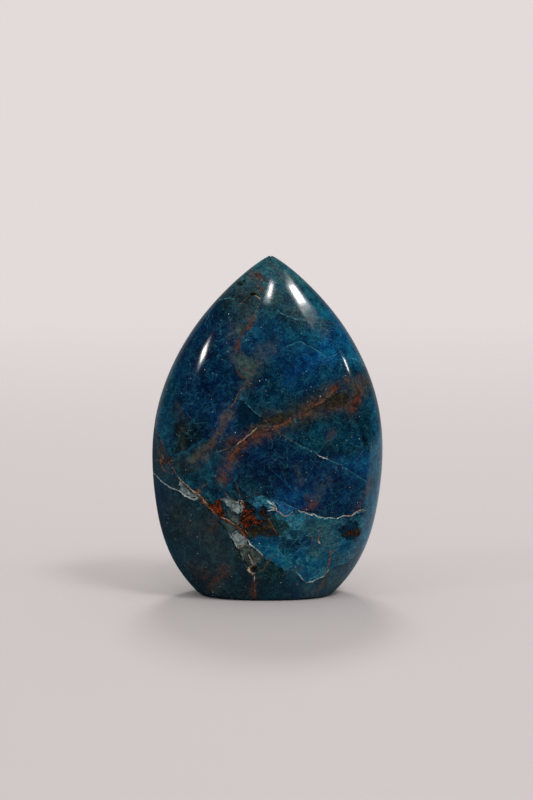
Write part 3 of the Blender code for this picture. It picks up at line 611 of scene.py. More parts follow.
# The stone below the main seam, and the turquoise stone under the white crack.
SLATE_GROUND = [
    (FRONT, MAIN_SEAM + PALE_BOUNDARY[1:] + [
        (26.0, 13.4), (30.0, 16.0), (33.0, 17.0), (33.0, -3.0), (-33.0, -3.0),
    ]),
    (BACK, BACK_SEAM + [(27.0, 14.6), (30.0, 16.0), (33.0, 17.0), (33.0, -3.0),
                                          (-33.0, -3.0)]),
]
TURQUOISE_GROUND = [
    (FRONT, [
        (0.6, 25.0), (2.0, 24.9), (2.8, 24.1), (3.9, 23.3), (5.0, 23.2), (6.4, 24.2), (7.6, 24.6),
        (9.7, 23.9), (11.9, 23.4), (13.9, 22.7), (16.2, 22.6), (17.7, 22.2), (20.0, 22.8),
        (23.3, 23.0), (26.0, 23.4), (33.0, 25.0), (33.0, 18.0), (26.0, 13.4), (24.2, 12.1),
        (22.4, 11.1), (20.9, 9.9), (19.4, 9.4), (17.9, 9.3), (16.4, 8.6), (15.8, 7.6),
        (14.7, 6.5), (13.2, 6.0), (10.2, 5.1), (9.1, 6.3), (8.0, 7.7), (6.9, 8.6), (5.8, 8.6),
        (4.5, 8.1), (3.7, 8.8), (2.4, 10.0), (0.9, 11.3), (-1.5, 12.7), (-3.9, 15.6),
        (-5.0, 16.9), (-3.4, 18.2), (0.6, 18.0), (2.8, 17.8),
    ]),
    (BACK, [
        (33.0, 25.0), (23.0, 24.8), (19.0, 24.0), (15.4, 26.2), (12.0, 25.8), (9.4, 27.4),
        (11.0, 24.2), (14.4, 23.4), (17.5, 21.7), (20.4, 18.2), (23.0, 15.7), (33.0, 18.0),
    ]),
]

# Soft hazes along a route: side, half width, strength, route. They fade out from the middle.
GREY_HAZE = [
    (FRONT, 1.3, 0.95, GREY_RIBBON),
    (FRONT, 1.4, 0.7, [(-1.6, 64.0), (-3.0, 61.8), (-4.0, 59.4), (-5.2, 57.0), (-7.4, 54.8)]),
    (FRONT, 1.6, 0.55, [(-8.8, 73.0), (-9.2, 70.0), (-8.8, 67.0), (-9.4, 64.6)]),
    (FRONT, 1.6, 0.45, [(-3.4, 64.0), (-1.0, 65.6), (1.2, 67.8)]),
    (FRONT, 2.2, 0.55, [(4.6, 78.6), (7.4, 76.2), (9.6, 74.2), (12.4, 72.6), (14.4, 71.4)]),
    (FRONT, 2.6, 0.5, [(-5.0, 83.5), (-5.5, 79.5), (-5.0, 75.5)]),
    (FRONT, 2.0, 0.45, [(0.5, 88.0), (3.0, 85.5), (6.0, 82.5)]),
    (FRONT, 1.0, 0.7, [(-0.8, 49.9), (1.4, 49.8), (3.0, 50.2)]),
    (FRONT, 0.8, 0.5, [(24.6, 62.8), (25.6, 61.4), (26.8, 59.4)]),
    (FRONT, 1.4, 0.5, [(12.4, 27.4), (13.8, 30.0), (15.6, 32.4)]),
    (FRONT, 1.0, 0.6, [(7.4, 34.8), (8.4, 33.6), (8.8, 32.2)]),
    (FRONT, 2.0, 0.35, [(13.6, 16.0), (15.0, 18.0), (15.4, 19.6)]),
    (FRONT, 2.4, 0.55, [(11.0, 2.0), (15.5, 3.0), (19.0, 5.6)]),
    (FRONT, 2.6, 0.35, [(-14.0, 16.0), (-12.0, 11.0), (-13.0, 4.0)]),
    (FRONT, 3.0, 0.28, [(-25.0, 25.0), (-21.0, 21.0), (-17.0, 18.0)]),
    (FRONT, 1.4, 0.6, [(-29.0, 42.0), (-28.6, 39.6), (-28.0, 37.6), (-26.6, 34.6)]),
    (FRONT, 1.0, 0.6, [(4.8, 9.0), (6.4, 9.4), (7.6, 9.0)]),
    (FRONT, 1.2, 0.5, [(17.6, 11.8), (19.8, 12.4), (21.2, 11.6)]),
    (BACK, 2.2, 0.7, [(24.0, 56.0), (18.0, 51.6), (12.0, 49.0), (6.0, 44.0), (0.0, 41.6)]),
    (BACK, 2.4, 0.55, [(-6.0, 76.0), (-2.0, 72.0), (1.0, 66.0), (-1.0, 60.0)]),
    (BACK, 2.6, 0.5, [(-18.0, 30.0), (-14.0, 25.0), (-15.0, 18.0)]),
]
RUST_HAZE = [
    (FRONT, 1.35, 0.95, BAND_ROUTE),
    (FRONT, 0.8, 0.6, [(-9.9, 49.6), (-11.9, 45.4), (-14.7, 41.3), (-18.4, 38.0)]),
    (FRONT, 1.6, 0.65, [(3.0, 46.0), (0.0, 45.2), (-3.0, 43.4), (-6.0, 42.4), (-9.6, 42.0)]),
    (FRONT, 0.7, 0.6, [(-2.8, 74.4), (-4.6, 71.6), (-6.8, 69.6), (-7.6, 67.0)]),
    (FRONT, 1.8, 0.75, [(24.4, 55.0), (23.2, 53.4), (22.4, 51.6), (21.6, 50.2)]),
    (FRONT, 1.8, 0.6, [(15.0, 51.0), (19.0, 51.6), (22.0, 52.0)]),
    (FRONT, 1.1, 0.6, [(18.6, 57.6), (20.8, 58.0), (23.4, 58.0), (25.6, 57.4)]),
    (FRONT, 1.2, 0.8, [(9.0, 50.0), (13.0, 52.6), (15.4, 54.4), (17.8, 56.6)]),
    (FRONT, 1.0, 0.6, [(1.0, 46.6), (4.0, 47.6), (7.0, 49.2)]),
    (FRONT, 0.6, 0.5, [(-5.2, 61.0), (-4.4, 59.0), (-5.0, 57.6)]),
    (FRONT, 1.1, 0.65, [(10.8, 25.4), (12.0, 26.0), (12.4, 27.4)]),
    (FRONT, 0.9, 0.6, [(27.2, 31.2), (26.8, 29.4), (25.4, 27.3), (23.8, 25.8), (22.8, 24.4)]),
    (FRONT, 1.0, 0.55, [(-3.6, 6.6), (-3.4, 4.6), (-3.4, 1.2)]),
    (FRONT, 0.8, 0.4, [(-17.6, 30.4), (-16.4, 31.4)]),
    (FRONT, 1.2, 0.35, [(-17.4, 36.8), (-15.8, 37.4)]),
    (FRONT, 1.4, 0.5, [(-0.6, 20.0), (-3.0, 19.0), (-5.0, 19.6)]),
    (FRONT, 1.0, 0.4, [(16.6, 45.4), (15.8, 43.4), (15.6, 41.2)]),
    (FRONT, 0.8, 0.35, [(27.2, 20.6), (25.4, 18.8)]),
    (FRONT, 1.2, 0.5, [(-10.4, 9.0), (-12.4, 7.0), (-14.2, 5.2), (-15.6, 2.4)]),
    (FRONT, 0.9, 0.45, [(-4.4, 85.8), (-2.6, 85.8), (-1.6, 84.2), (-2.0, 82.4), (-1.2, 80.8)]),
    (FRONT, 1.0, 0.5, [(-14.6, 22.6), (-13.0, 21.4), (-14.2, 19.4)]),
    (FRONT, 1.6, 0.35, [(-19.0, 9.0), (-16.0, 5.6), (-12.4, 6.4)]),
    (BACK, 1.2, 0.8, [(20.0, 53.4), (14.0, 50.8), (8.0, 46.0), (3.0, 43.8)]),
    (BACK, 1.2, 0.7, [(5.2, 68.0), (5.2, 63.4), (5.8, 59.6)]),
    (BACK, 1.4, 0.6, [(-13.8, 40.0), (-13.2, 36.0), (-14.6, 33.0)]),
]
OLIVE_HAZE = [
    (FRONT, 2.7, 0.95, [
        (28.0, 57.0), (25.0, 56.0), (21.0, 54.6), (17.0, 53.0), (13.0, 51.4), (9.0, 50.0),
        (5.0, 49.0), (1.0, 47.4), (-2.0, 46.2),
    ]),
    (FRONT, 1.6, 0.8, [(22.6, 55.2), (20.0, 53.0), (15.0, 50.6), (11.0, 49.0), (7.4, 47.6)]),
    (FRONT, 1.6, 0.6, [(5.0, 50.6), (9.0, 52.2), (12.4, 54.0), (16.4, 56.2)]),
    (FRONT, 1.4, 0.7, [(-1.0, 22.2), (0.8, 20.6), (1.6, 18.8)]),
    (FRONT, 1.4, 0.6, [(-5.0, 78.6), (-6.6, 81.6), (-8.0, 83.0)]),
    (FRONT, 2.4, 0.5, [(-10.6, 81.2), (-9.4, 79.4)]),
    (FRONT, 1.6, 0.6, [(-23.2, 51.4), (-22.6, 48.4), (-22.4, 45.0), (-22.0, 41.0)]),
    (FRONT, 1.6, 0.5, [(-24.0, 37.4), (-20.0, 36.0), (-16.0, 37.0)]),
    (FRONT, 1.6, 0.5, [(-28.2, 39.0), (-26.8, 35.0)]),
    (FRONT, 1.6, 0.35, [(-17.0, 38.0), (-13.0, 41.0)]),
    (FRONT, 1.6, 0.4, [(-8.6, 24.6), (-7.6, 21.6)]),
    (FRONT, 1.2, 0.4, [(-5.6, 28.6), (-3.0, 28.8)]),
    (BACK, 2.6, 0.8, [(26.0, 58.0), (18.0, 53.0), (11.0, 49.6), (5.0, 46.0)]),
    (BACK, 2.6, 0.5, [(-24.0, 52.0), (-18.0, 48.6), (-12.0, 44.0)]),
    (BACK, 2.2, 0.5, [(2.0, 28.0), (5.0, 22.0), (3.6, 16.0)]),
]

# The stone's own colours with some painted shading in them, as seen on a screen from 0 to 255.
COLOURS = {
    "navy": (0, 28, 58),
    "black navy": (1, 16, 34),
    "royal": (1, 46, 90),
    "teal": (3, 50, 70),
    "deep teal": (2, 38, 54),
    "turquoise": (5, 70, 98),
    "grey teal": (34, 76, 86),
    "clear blue": (1, 66, 106),
    "green black": (5, 26, 34),
    "slate": (24, 42, 50),
    "pale slate": (54, 88, 104),
    "blue slate": (14, 50, 74),
}

# Where each colour lies: the side, x, z, half width, half height, strength, colour.
GROUND_FIELDS = [
    (FRONT, 2.0, 84.0, 9.0, 8.0, 0.8, "grey teal"),
    (FRONT, -8.0, 79.0, 6.0, 4.0, 0.7, "green black"),
    (FRONT, 10.0, 78.0, 5.0, 5.0, 0.7, "teal"),
    (FRONT, 13.0, 74.0, 4.0, 4.0, 0.6, "turquoise"),
    (FRONT, -14.0, 71.0, 7.0, 6.0, 0.8, "navy"),
    (FRONT, -10.0, 75.0, 3.0, 3.0, 0.6, "deep teal"),
    (FRONT, 2.0, 72.0, 4.0, 5.0, 0.6, "deep teal"),
    (FRONT, 3.0, 70.0, 5.0, 3.0, 0.4, "royal"),
    (FRONT, 9.0, 71.0, 5.0, 3.0, 0.6, "teal"),
    (FRONT, 18.0, 69.0, 5.0, 4.0, 0.9, "clear blue"),
    (FRONT, 22.0, 65.0, 4.0, 4.0, 0.7, "turquoise"),
    (FRONT, -16.0, 60.0, 7.0, 11.0, 0.95, "navy"),
    (FRONT, -20.0, 56.0, 4.0, 9.0, 0.5, "navy"),
    (FRONT, -14.0, 51.0, 8.0, 6.0, 0.95, "navy"),
    (FRONT, -14.5, 63.5, 3.0, 4.0, 0.5, "deep teal"),
    (FRONT, -26.0, 56.0, 3.0, 14.0, 0.8, "teal"),
    (FRONT, -21.5, 44.0, 4.5, 5.0, 0.9, "green black"),
    (FRONT, -27.0, 46.0, 3.0, 6.0, 0.7, "blue slate"),
    (FRONT, -12.0, 46.0, 3.5, 3.0, 0.5, "royal"),
    (FRONT, 9.0, 62.4, 7.0, 4.4, 1.0, "royal"),
    (FRONT, 1.0, 60.0, 5.0, 5.0, 0.8, "deep teal"),
    (FRONT, -2.0, 56.0, 5.0, 4.0, 0.8, "navy"),
    (FRONT, 5.0, 66.0, 5.0, 3.0, 0.5, "teal"),
    (FRONT, 15.5, 58.6, 6.0, 3.0, 0.8, "deep teal"),
    (FRONT, 4.0, 54.0, 6.0, 3.0, 0.7, "deep teal"),
    (FRONT, -20.0, 21.0, 5.0, 3.0, 0.6, "slate"),
    (FRONT, -4.5, 51.0, 3.0, 3.5, 0.9, "black navy"),
    (FRONT, 1.0, 51.5, 4.0, 2.4, 0.6, "teal"),
    (FRONT, 23.0, 60.0, 4.0, 2.6, 0.6, "deep teal"),
    (FRONT, 9.0, 45.5, 7.0, 2.6, 0.8, "deep teal"),
    (FRONT, 21.0, 45.0, 7.0, 6.0, 0.8, "deep teal"),
    (FRONT, 17.0, 41.5, 6.0, 3.0, 0.6, "teal"),
    (FRONT, -2.0, 38.0, 6.5, 5.0, 1.0, "navy"),
    (FRONT, 1.0, 33.0, 7.0, 5.0, 1.0, "navy"),
    (FRONT, 17.0, 31.0, 9.0, 6.0, 0.95, "navy"),
    (FRONT, 8.0, 30.0, 5.0, 5.0, 0.6, "royal"),
    (FRONT, 21.0, 34.5, 5.0, 3.0, 0.6, "royal"),
    (FRONT, 28.0, 34.0, 2.6, 12.0, 0.8, "turquoise"),
    (FRONT, 22.0, 37.0, 3.0, 3.0, 0.8, "clear blue"),
    (FRONT, -5.0, 30.0, 5.0, 3.0, 0.6, "green black"),
    (FRONT, -15.0, 34.0, 6.0, 4.0, 1.0, "teal"),
    (FRONT, -28.6, 38.0, 2.0, 4.0, 0.8, "slate"),
    (FRONT, -12.0, 40.0, 5.0, 3.0, 0.7, "deep teal"),
    (FRONT, -20.0, 37.0, 4.0, 3.0, 0.7, "green black"),
    (FRONT, -27.0, 33.0, 3.0, 2.5, 0.8, "blue slate"),
    (FRONT, -24.0, 31.0, 2.0, 1.4, 0.8, "slate"),
    (FRONT, -28.0, 27.0, 2.4, 4.0, 0.8, "navy"),
    (FRONT, -20.0, 22.0, 7.0, 6.0, 0.95, "green black"),
    (FRONT, -15.0, 14.0, 6.0, 6.0, 0.85, "slate"),
    (FRONT, -19.0, 15.0, 3.0, 5.0, 0.5, "blue slate"),
    (FRONT, -9.0, 6.0, 8.0, 5.0, 0.85, "green black"),
    (FRONT, 2.0, 4.5, 6.0, 3.6, 0.85, "deep teal"),
    (FRONT, 8.0, 3.0, 4.0, 3.0, 0.8, "blue slate"),
    (FRONT, 17.0, 3.6, 7.0, 4.4, 1.0, "pale slate"),
    (FRONT, 22.0, 9.0, 3.0, 4.0, 0.7, "blue slate"),
    (FRONT, 7.5, 17.0, 4.0, 3.0, 0.9, "navy"),
    (FRONT, 1.0, 14.5, 3.0, 2.6, 0.8, "turquoise"),
    (FRONT, 7.0, 12.5, 5.0, 3.0, 0.7, "turquoise"),
    (FRONT, 11.0, 8.5, 4.0, 2.6, 0.9, "turquoise"),
    (FRONT, 19.0, 14.0, 4.0, 4.0, 0.8, "turquoise"),
    (FRONT, 12.0, 20.0, 7.0, 2.4, 0.9, "grey teal"),
    (FRONT, 15.4, 18.0, 3.4, 3.0, 0.6, "turquoise"),
    (FRONT, 26.5, 19.0, 2.4, 5.0, 0.8, "turquoise"),
    (BACK, 0.0, 84.0, 9.0, 8.0, 0.7, "grey teal"),
    (BACK, -10.0, 70.0, 8.0, 7.0, 0.8, "royal"),
    (BACK, 11.0, 68.0, 8.0, 7.0, 0.8, "navy"),
    (BACK, -19.0, 58.0, 8.0, 8.0, 0.8, "deep teal"),
    (BACK, -4.0, 56.0, 7.0, 8.0, 0.9, "navy"),
    (BACK, 16.0, 60.0, 8.0, 6.0, 0.7, "teal"),
    (BACK, 16.0, 42.0, 10.0, 7.0, 0.9, "navy"),
    (BACK, 2.0, 38.0, 6.0, 4.0, 0.8, "royal"),
    (BACK, -20.0, 50.0, 6.0, 4.0, 0.8, "green black"),
    (BACK, -18.0, 34.0, 8.0, 8.0, 0.8, "blue slate"),
    (BACK, -6.0, 24.0, 8.0, 7.0, 0.9, "green black"),
    (BACK, 10.0, 16.0, 7.0, 6.0, 0.8, "slate"),
    (BACK, -14.0, 10.0, 9.0, 6.0, 0.8, "deep teal"),
    (BACK, 21.0, 30.0, 6.0, 6.0, 0.8, "deep teal"),
    (BACK, 4.0, 5.0, 9.0, 4.0, 0.8, "blue slate"),
]

CRUST_DEPTH = 0.14      # how far a crusty patch lies below the polish
CRUST_ROUGHNESS = 0.12  # how far its grains stand up and down
POLISH_WAVES = 0.035    # how far the hand polishing is out of true
MARK_REACH = 1.2        # how far from a line its mark is kept
CLOSEST_LINES = 2.8     # lines nearer to each other than this are kept in separate layers
LINE_TAPER = 1.0        # the length over which a line's end thins out
LEDGE_SHADING_REACH = 0.9       # how far a line's painted ledge light and shade reaches
FAR = 3.0               # a distance past which an outline counts as far away


def spline(points, t):
    """The clamped cubic B-spline of these points, at the values t from 0 to 1."""
    points = np.array(points, float)
    spans = len(points) - 3
    knots = np.concatenate([np.zeros(3), np.linspace(0.0, 1.0, spans + 1), np.ones(3)])
    span = np.clip((t * spans).astype(int), 0, spans - 1)
    near = [points[span + i] for i in range(4)]
    for level in range(1, 4):
        for i in range(3, level - 1, -1):
            low = knots[span + i]
            high = knots[span + 4 + i - level]
            share = ((t - low) / (high - low))[:, None]
            near[i] = near[i - 1] * (1.0 - share) + near[i] * share
    return near[3]


TOP = OUTLINE[0][0]
outline = spline(OUTLINE, np.linspace(0.0, 1.0, 4001))[::-1]


def lean(height):
    return np.where(height > STRAIGHT_HEIGHT, TIP_LEAN, FOOT_LEAN) * (height - STRAIGHT_HEIGHT)


def half_sizes(height):
    """Half the stone's width and half its depth, less the rounding of the foot's edge."""
    rubbed = FOOT_ROUNDING * np.clip(1.0 - height / FOOT_ROUNDING, 0.0, 1.0) ** 2
    half_width = np.interp(height, outline[:, 0], outline[:, 1]) - rubbed
    half_depth = np.interp(height, outline[:, 0], outline[:, 2]) - rubbed
    return np.maximum(half_width, 0.0), np.maximum(half_depth, 0.0)


def on_surface(turn, height, shrink=1.0):
    """The polished surface's point at this turn from the middle of the front, and this height."""
    half_width, half_depth = half_sizes(height)
    bulge = (1.0 + SWELL * np.sin(2.0 * turn) ** 2) * shrink
    x = lean(height) + half_width * np.sin(turn) * bulge
    y = -half_depth * np.cos(turn) * bulge
    return np.stack(np.broadcast_arrays(x, y, height), axis=-1)


def turn_of(points):
    """The turn from the middle of the front at which points of the surface lie."""
    half_width, half_depth = half_sizes(points[:, 2])
    across = (points[:, 0] - lean(points[:, 2])) / np.maximum(half_width, 1e-6)
    return np.arctan2(across, -points[:, 1] / np.maximum(half_depth, 1e-6))


STEPS = 180
turn_steps = np.linspace(0.0, np.pi, STEPS + 1)
ring = on_surface(turn_steps[None, :], np.linspace(0.0, TOP, STEPS + 1)[:, None])
way_table = np.cumsum(np.linalg.norm(np.diff(ring, axis=1, prepend=ring[:, :1]), axis=2), axis=1)
quarter_turns = np.linspace(0.0, np.pi / 2, STEPS + 1)
quarter_shares = np.sin(quarter_turns) * (1.0 + SWELL * np.sin(2.0 * quarter_turns) ** 2)


def way_round(turn, height):
    """How far round the surface a place is from the middle of the front."""
    row = np.clip(height / TOP, 0.0, 0.99999) * STEPS
    column = np.clip(np.abs(turn) / np.pi, 0.0, 0.99999) * STEPS
    i, j = row.astype(int), column.astype(int)
    up, on = row - i, column - j
    lower = way_table[i, j] * (1.0 - on) + way_table[i, j + 1] * on
    upper = way_table[i + 1, j] * (1.0 - on) + way_table[i + 1, j + 1] * on
    return np.sign(turn) * (lower * (1.0 - up) + upper * up)


def unroll(route):
    """A route of (x, z) as (way round from the middle of its side, height)."""
    x, z = np.array(route, float).T
    half_width = half_sizes(z)[0]
    share = (x - lean(z)) / np.maximum(half_width, 0.1)
    turn = np.sign(share) * np.interp(np.abs(share), quarter_shares, quarter_turns)
    past_edge = np.maximum(np.abs(share) - 1.0, 0.0) * half_width
    return np.stack([way_round(turn, z) + np.sign(share) * past_edge, z], axis=1)


def charts(points):
    """Where points of the surface lie on the unrolled front and on the unrolled back."""
    turn, height = turn_of(points), points[:, 2]
    front = way_round(turn, height)
    back = np.sign(turn) * (way_round(np.full_like(turn, np.pi), height) - np.abs(front))
    return {FRONT: np.stack([front, height], axis=1), BACK: np.stack([back, height], axis=1)}


def cloud(places, size, seed):
    """Smooth random values from -1 to 1, with lumps of about this size."""
    cells = np.floor(places / size).astype(np.int64)
    rest = places / size - cells
    ease = rest * rest * (3.0 - 2.0 * rest)
    total = np.zeros(len(places))
    dimensions = places.shape[1]
    for corner in range(2 ** dimensions):
        key = np.full(len(places), seed * 83492791, np.int64)
        weight = np.ones(len(places))
        for axis, prime in zip(range(dimensions), (73856093, 19349663, 49979687)):
            step = corner >> axis & 1
            key ^= (cells[:, axis] + step) * prime
            weight *= ease[:, axis] if step else 1.0 - ease[:, axis]
        key = (key ^ key >> 13) * 1274126177 & 0x7FFFFFFF
        total += weight * (((key ^ key >> 15) & 0xFFFF) / 32767.5 - 1.0)
    return total


def wandered(places):
    """Places moved about a little, so that lines drawn through them look broken, not ruled."""
    wide = np.stack([cloud(places, 2.6, 11), cloud(places, 2.6, 12)], axis=1)
    fine = np.stack([cloud(places, 0.8, 13), cloud(places, 0.8, 14)], axis=1)
    return places + 0.22 * wide + 0.11 * fine


def near_box(places, route, reach):
    low, high = route.min(axis=0) - reach, route.max(axis=0) + reach
    return np.flatnonzero(((places > low) & (places < high)).all(axis=1))


def beside(places, route):
    """The signed distance from each place to a route, and how far along it the nearest point is."""
    steps = np.diff(route, axis=0)
    lengths = np.maximum(np.hypot(*steps.T), 1e-6)
    sides = np.stack([-steps[:, 1], steps[:, 0]], axis=1) / lengths[:, None]
    corners = np.concatenate([sides[:1], sides[:-1] + sides[1:], sides[-1:]])
    starts = np.concatenate([[0.0], np.cumsum(lengths)])
    best = np.full(len(places), np.inf)
    signed = np.full(len(places), np.inf)
    along = np.zeros(len(places))
    for i, (step, length) in enumerate(zip(steps, lengths)):
        offset = places - route[i]
        share = np.clip(offset @ step / length ** 2, 0.0, 1.0)
        gap = offset - share[:, None] * step
        facing = corners[i] * (1.0 - share)[:, None] + corners[i + 1] * share[:, None]
        distance = np.hypot(*gap.T)
        closer = distance < best
        sign = np.where((gap * facing).sum(axis=1) < 0.0, -1.0, 1.0)
        best[closer] = distance[closer]
        signed[closer] = (distance * sign)[closer]
        along[closer] = (starts[i] + share * length)[closer]
    return signed, along, starts[-1]


def in_layers(lines):
    """The lines sorted into layers, so that none comes close to another in its own layer."""
    layers = []
    for line in lines:
        route = unroll(line[-1])
        for layer in layers:
            if all(other[0] != line[0] or
                   np.abs(beside(route, mate)[0]).min() > CLOSEST_LINES and
                   np.abs(beside(mate, route)[0]).min() > CLOSEST_LINES
                   for other, mate in layer):
                layer.append((line, route))
                break
        else:
            layers.append([(line, route)])
    return layers


def line_marks(places, layer):
    """The nearest line of the layer: its signed distance, half width and strength, and its filling."""
    marks = np.zeros((len(places[FRONT]), 3))
    marks[:, 0] = FAR
    fillings = np.zeros((len(marks), 4))
    for (side, filling, half_width, strength, _, _), route in layer:
        near = near_box(places[side], route, FAR)
        spot = places[side][near]
        signed, along, length = beside(spot, route)
        taper = np.clip(np.minimum(along, length - along) / LINE_TAPER, 0.0, 1.0) ** 0.6
        varied = 1.0 + 0.35 * cloud(spot, 1.7, 16)
        wide = half_width * varied * taper * (np.abs(signed) < MARK_REACH)
        closer = np.abs(signed) < np.abs(marks[near, 0])
        found = np.stack([signed, wide, np.full(len(near), strength)], axis=1)
        marks[near[closer]] = found[closer]
        colour, softness = LINE_FILLINGS[filling]
        fillings[near[closer]] = [*linear(colour), softness]
    return marks, fillings


def ledge_light(places):
    """How much painted light brightens the stone beside its cracks, or below zero how much painted shade darkens
    it.
    """
    light = np.zeros(len(places[FRONT]))
    for side, _, _, _, ledge_light_and_shade, line in LINES:
        if ledge_light_and_shade:
            route = unroll(line)
            near = near_box(places[side], route, 3.0 * LEDGE_SHADING_REACH)
            signed, along, length = beside(places[side][near], route)
            ends = np.clip(np.minimum(along, length - along) / 1.6, 0.0, 1.0)
            light[near] += ledge_light_and_shade * ends * np.sign(signed) * np.exp(-np.abs(signed) / LEDGE_SHADING_REACH)
    return np.clip(light, -1.0, 1.0)


def outline_distance(spot, route):
    """The distance from each place to a closed route, below zero inside it."""
    distance = np.abs(beside(spot, route)[0])
    inside = np.zeros(len(spot), bool)
    for (x1, z1), (x2, z2) in zip(route[:-1], route[1:]):
        crosses = (z1 > spot[:, 1]) != (z2 > spot[:, 1])
        at = x1 + (spot[:, 1] - z1) / (z2 - z1 if z2 != z1 else 1.0) * (x2 - x1)
        inside ^= crosses & (spot[:, 0] < at)
    return np.where(inside, -distance, distance)


def zone_distance(places, outlines):
    """The distance from each place to the nearest of these outlines, below zero inside it."""
    nearest = np.full(len(places[FRONT]), FAR)
    for side, corners in outlines:
        route = unroll(corners + corners[:1])
        near = near_box(places[side], route, FAR)
        nearest[near] = np.minimum(nearest[near], outline_distance(places[side][near], route))
    return np.maximum(nearest, -FAR)


def patch_layers(places):
    """The patches in layers where none overlaps another: distance, its two colours, crustiness."""
    layers = []
    for side, stone, corners in PATCHES:
        route = unroll(corners + corners[:1])
        near = near_box(places[side], route, FAR)
        distance = outline_distance(places[side][near], route)
        inside = near[distance < 0.25]
        for layer in layers:
            if (layer[inside, 0] > 0.25).all():
                break
        else:
            layer = np.zeros((len(places[FRONT]), 10))
            layer[:, 0] = FAR
            layers.append(layer)
        dark, light, *nature = PATCH_STONES[stone]
        closer = distance < layer[near, 0]
        layer[near[closer], 0] = np.maximum(distance[closer], -FAR)
        layer[near[closer], 1:] = [*linear(dark), *linear(light), *nature]
    return layers


def haze_density(places, hazes, seed):
    """How thick the haze along these routes is at each place."""
    density = np.zeros(len(places[FRONT]))
    for side, half_width, strength, line in hazes:
        route = unroll(line)
        near = near_box(places[side], route, 2.5 * half_width + 2.0)
        spot = places[side][near]
        moved = spot + 1.1 * np.stack([cloud(spot, 3.1, seed), cloud(spot, 3.1, seed + 1)], axis=1)
        moved += 0.5 * np.stack([cloud(spot, 1.2, seed + 2), cloud(spot, 1.2, seed + 3)], axis=1)
        distance = np.abs(beside(moved, route)[0])
        thick = strength * np.exp(-(distance / half_width) ** 2)
        thick *= 1.0 + 0.45 * cloud(spot, 1.5, seed + 4)
        density[near] = np.maximum(density[near], thick)
    return np.clip(density, 0.0, 1.0)


def linear(colour):
    """A colour from the screen's scale, from 0 to 255, to the renderer's scale."""
    share = np.array(colour[:3], float) / 255.0
    return np.where(share <= 0.04045, share / 12.92, ((share + 0.055) / 1.055) ** 2.4)


def ground_colour(places):
    """The stone's colour at each place, partly its own and partly painted shading, blended softly from the fields.
    """
    count = len(places[FRONT])
    total = np.full(count, 0.02)
    colour = np.outer(total, linear(COLOURS["teal"]))
    for number, (side, x, z, half_width, half_height, strength, name) in enumerate(GROUND_FIELDS):
        middle = unroll([(x, z)])[0]
        spot = places[side]
        moved = spot + 1.8 * np.stack([cloud(spot, 5.5, 70), cloud(spot, 5.5, 71)], axis=1)
        moved += 0.8 * np.stack([cloud(spot, 2.1, 72 + number), cloud(spot, 2.1, 73)], axis=1)
        away = (moved - middle) / (half_width, half_height)
        weight = strength * np.exp(-(away ** 2).sum(axis=1) ** 1.2)
        total += weight
        colour += np.outer(weight, linear(COLOURS[name]))
    return colour / total[:, None]


def relief_distance(points):
    """The distance from points of the surface to the nearest crack or crust that is cut into it."""
    places = charts(points)
    nearest = np.full(len(points), FAR)
    for side, _, _, line in CUTS:
        route = unroll(line)
        near = near_box(places[side], route, FAR)
        found = np.abs(beside(places[side][near], route)[0])
        nearest[near] = np.minimum(nearest[near], found)
    crusts = [(side, corners) for side, stone, corners in PATCHES if PATCH_STONES[stone][2] > 0.8]
    return np.minimum(nearest, zone_distance(places, crusts) + 0.5)


def coordinates(mesh_points):
    return np.array([vert.co for vert in mesh_points], float)


def lay_surface(stone):
    """Bends the flat grid round the stone, from the tip down to the middle of the foot."""
    wrap = on_surface(np.linspace(-np.pi, np.pi, 721), np.array(STRAIGHT_HEIGHT))
    way = np.cumsum(np.linalg.norm(np.diff(wrap, axis=0, prepend=wrap[:1]), axis=1))
    profile = outline[::-1].copy()
    profile[:, 1], _ = half_sizes(profile[:, 0])
    run = np.linalg.norm(np.diff(profile[:, :2], axis=0, prepend=profile[:1, :2]), axis=1)
    run = np.cumsum(run * np.where(profile[:, 0] < 1.2, 2.5, 1.0))
    row_heights = np.interp(np.linspace(0.0, run[-1], ROWS + 1), run, profile[:, 0])

    grid = coordinates(stone.verts) + 0.5
    turn = np.interp(grid[:, 0] * way[-1], way, np.linspace(-np.pi, np.pi, 721))
    row = grid[:, 1] * (ROWS + FOOT_ROWS)
    height = np.interp(row, np.arange(ROWS + 1), row_heights)
    shrink = np.clip(1.0 - (row - ROWS) / FOOT_ROWS, 0.0, 1.0)
    for vert, place in zip(stone.verts, on_surface(turn, height, shrink)):
        vert.co = place


def halve_faces_near_relief(stone, reach):
    """Halves the edges near the cut marks, and puts the new points on the surface."""
    stone.verts.index_update()
    old = len(stone.verts)
    near = relief_distance(coordinates(stone.verts)) < reach
    edges = [edge for edge in stone.edges if any(near[vert.index] for vert in edge.verts)]
    bmesh.ops.subdivide_edges(stone, edges=edges, cuts=1, use_grid_fill=True)
    stone.verts.ensure_lookup_table()
    fresh = [vert for vert in stone.verts[old:] if vert.co.z > 0.05]
    points = coordinates(fresh)
    for vert, place in zip(fresh, on_surface(turn_of(points), points[:, 2])):
        vert.co = place


def relief(points, places, patches):
    """How far each point of the surface is sunk."""
    depth = POLISH_WAVES * (0.5 + 0.5 * cloud(points, 9.0, 4))
    rough = 0.5 + 0.5 * cloud(points, 0.55, 9) + 0.5 * cloud(points, 0.28, 10)
    for side, reach, bottom, line in CUTS:
        route = unroll(line)
        near = near_box(places[side], route, 1.0)
        distance = np.abs(beside(places[side][near], route)[0])
        groove = np.clip(1.0 - distance / reach, 0.0, 1.0) ** 1.3
        depth[near] = np.maximum(depth[near], bottom * groove * (0.5 + 0.5 * rough[near]))
    for layer in patches:
        inside = np.clip(-layer[:, 0] / 0.35, 0.0, 1.0) * layer[:, 7]
        depth += inside * (CRUST_DEPTH + CRUST_ROUGHNESS * (2.0 * rough - 1.0))
    standing = np.clip(points[:, 2] / 0.6, 0.0, 1.0)
    return np.maximum(depth, 0.0) * standing


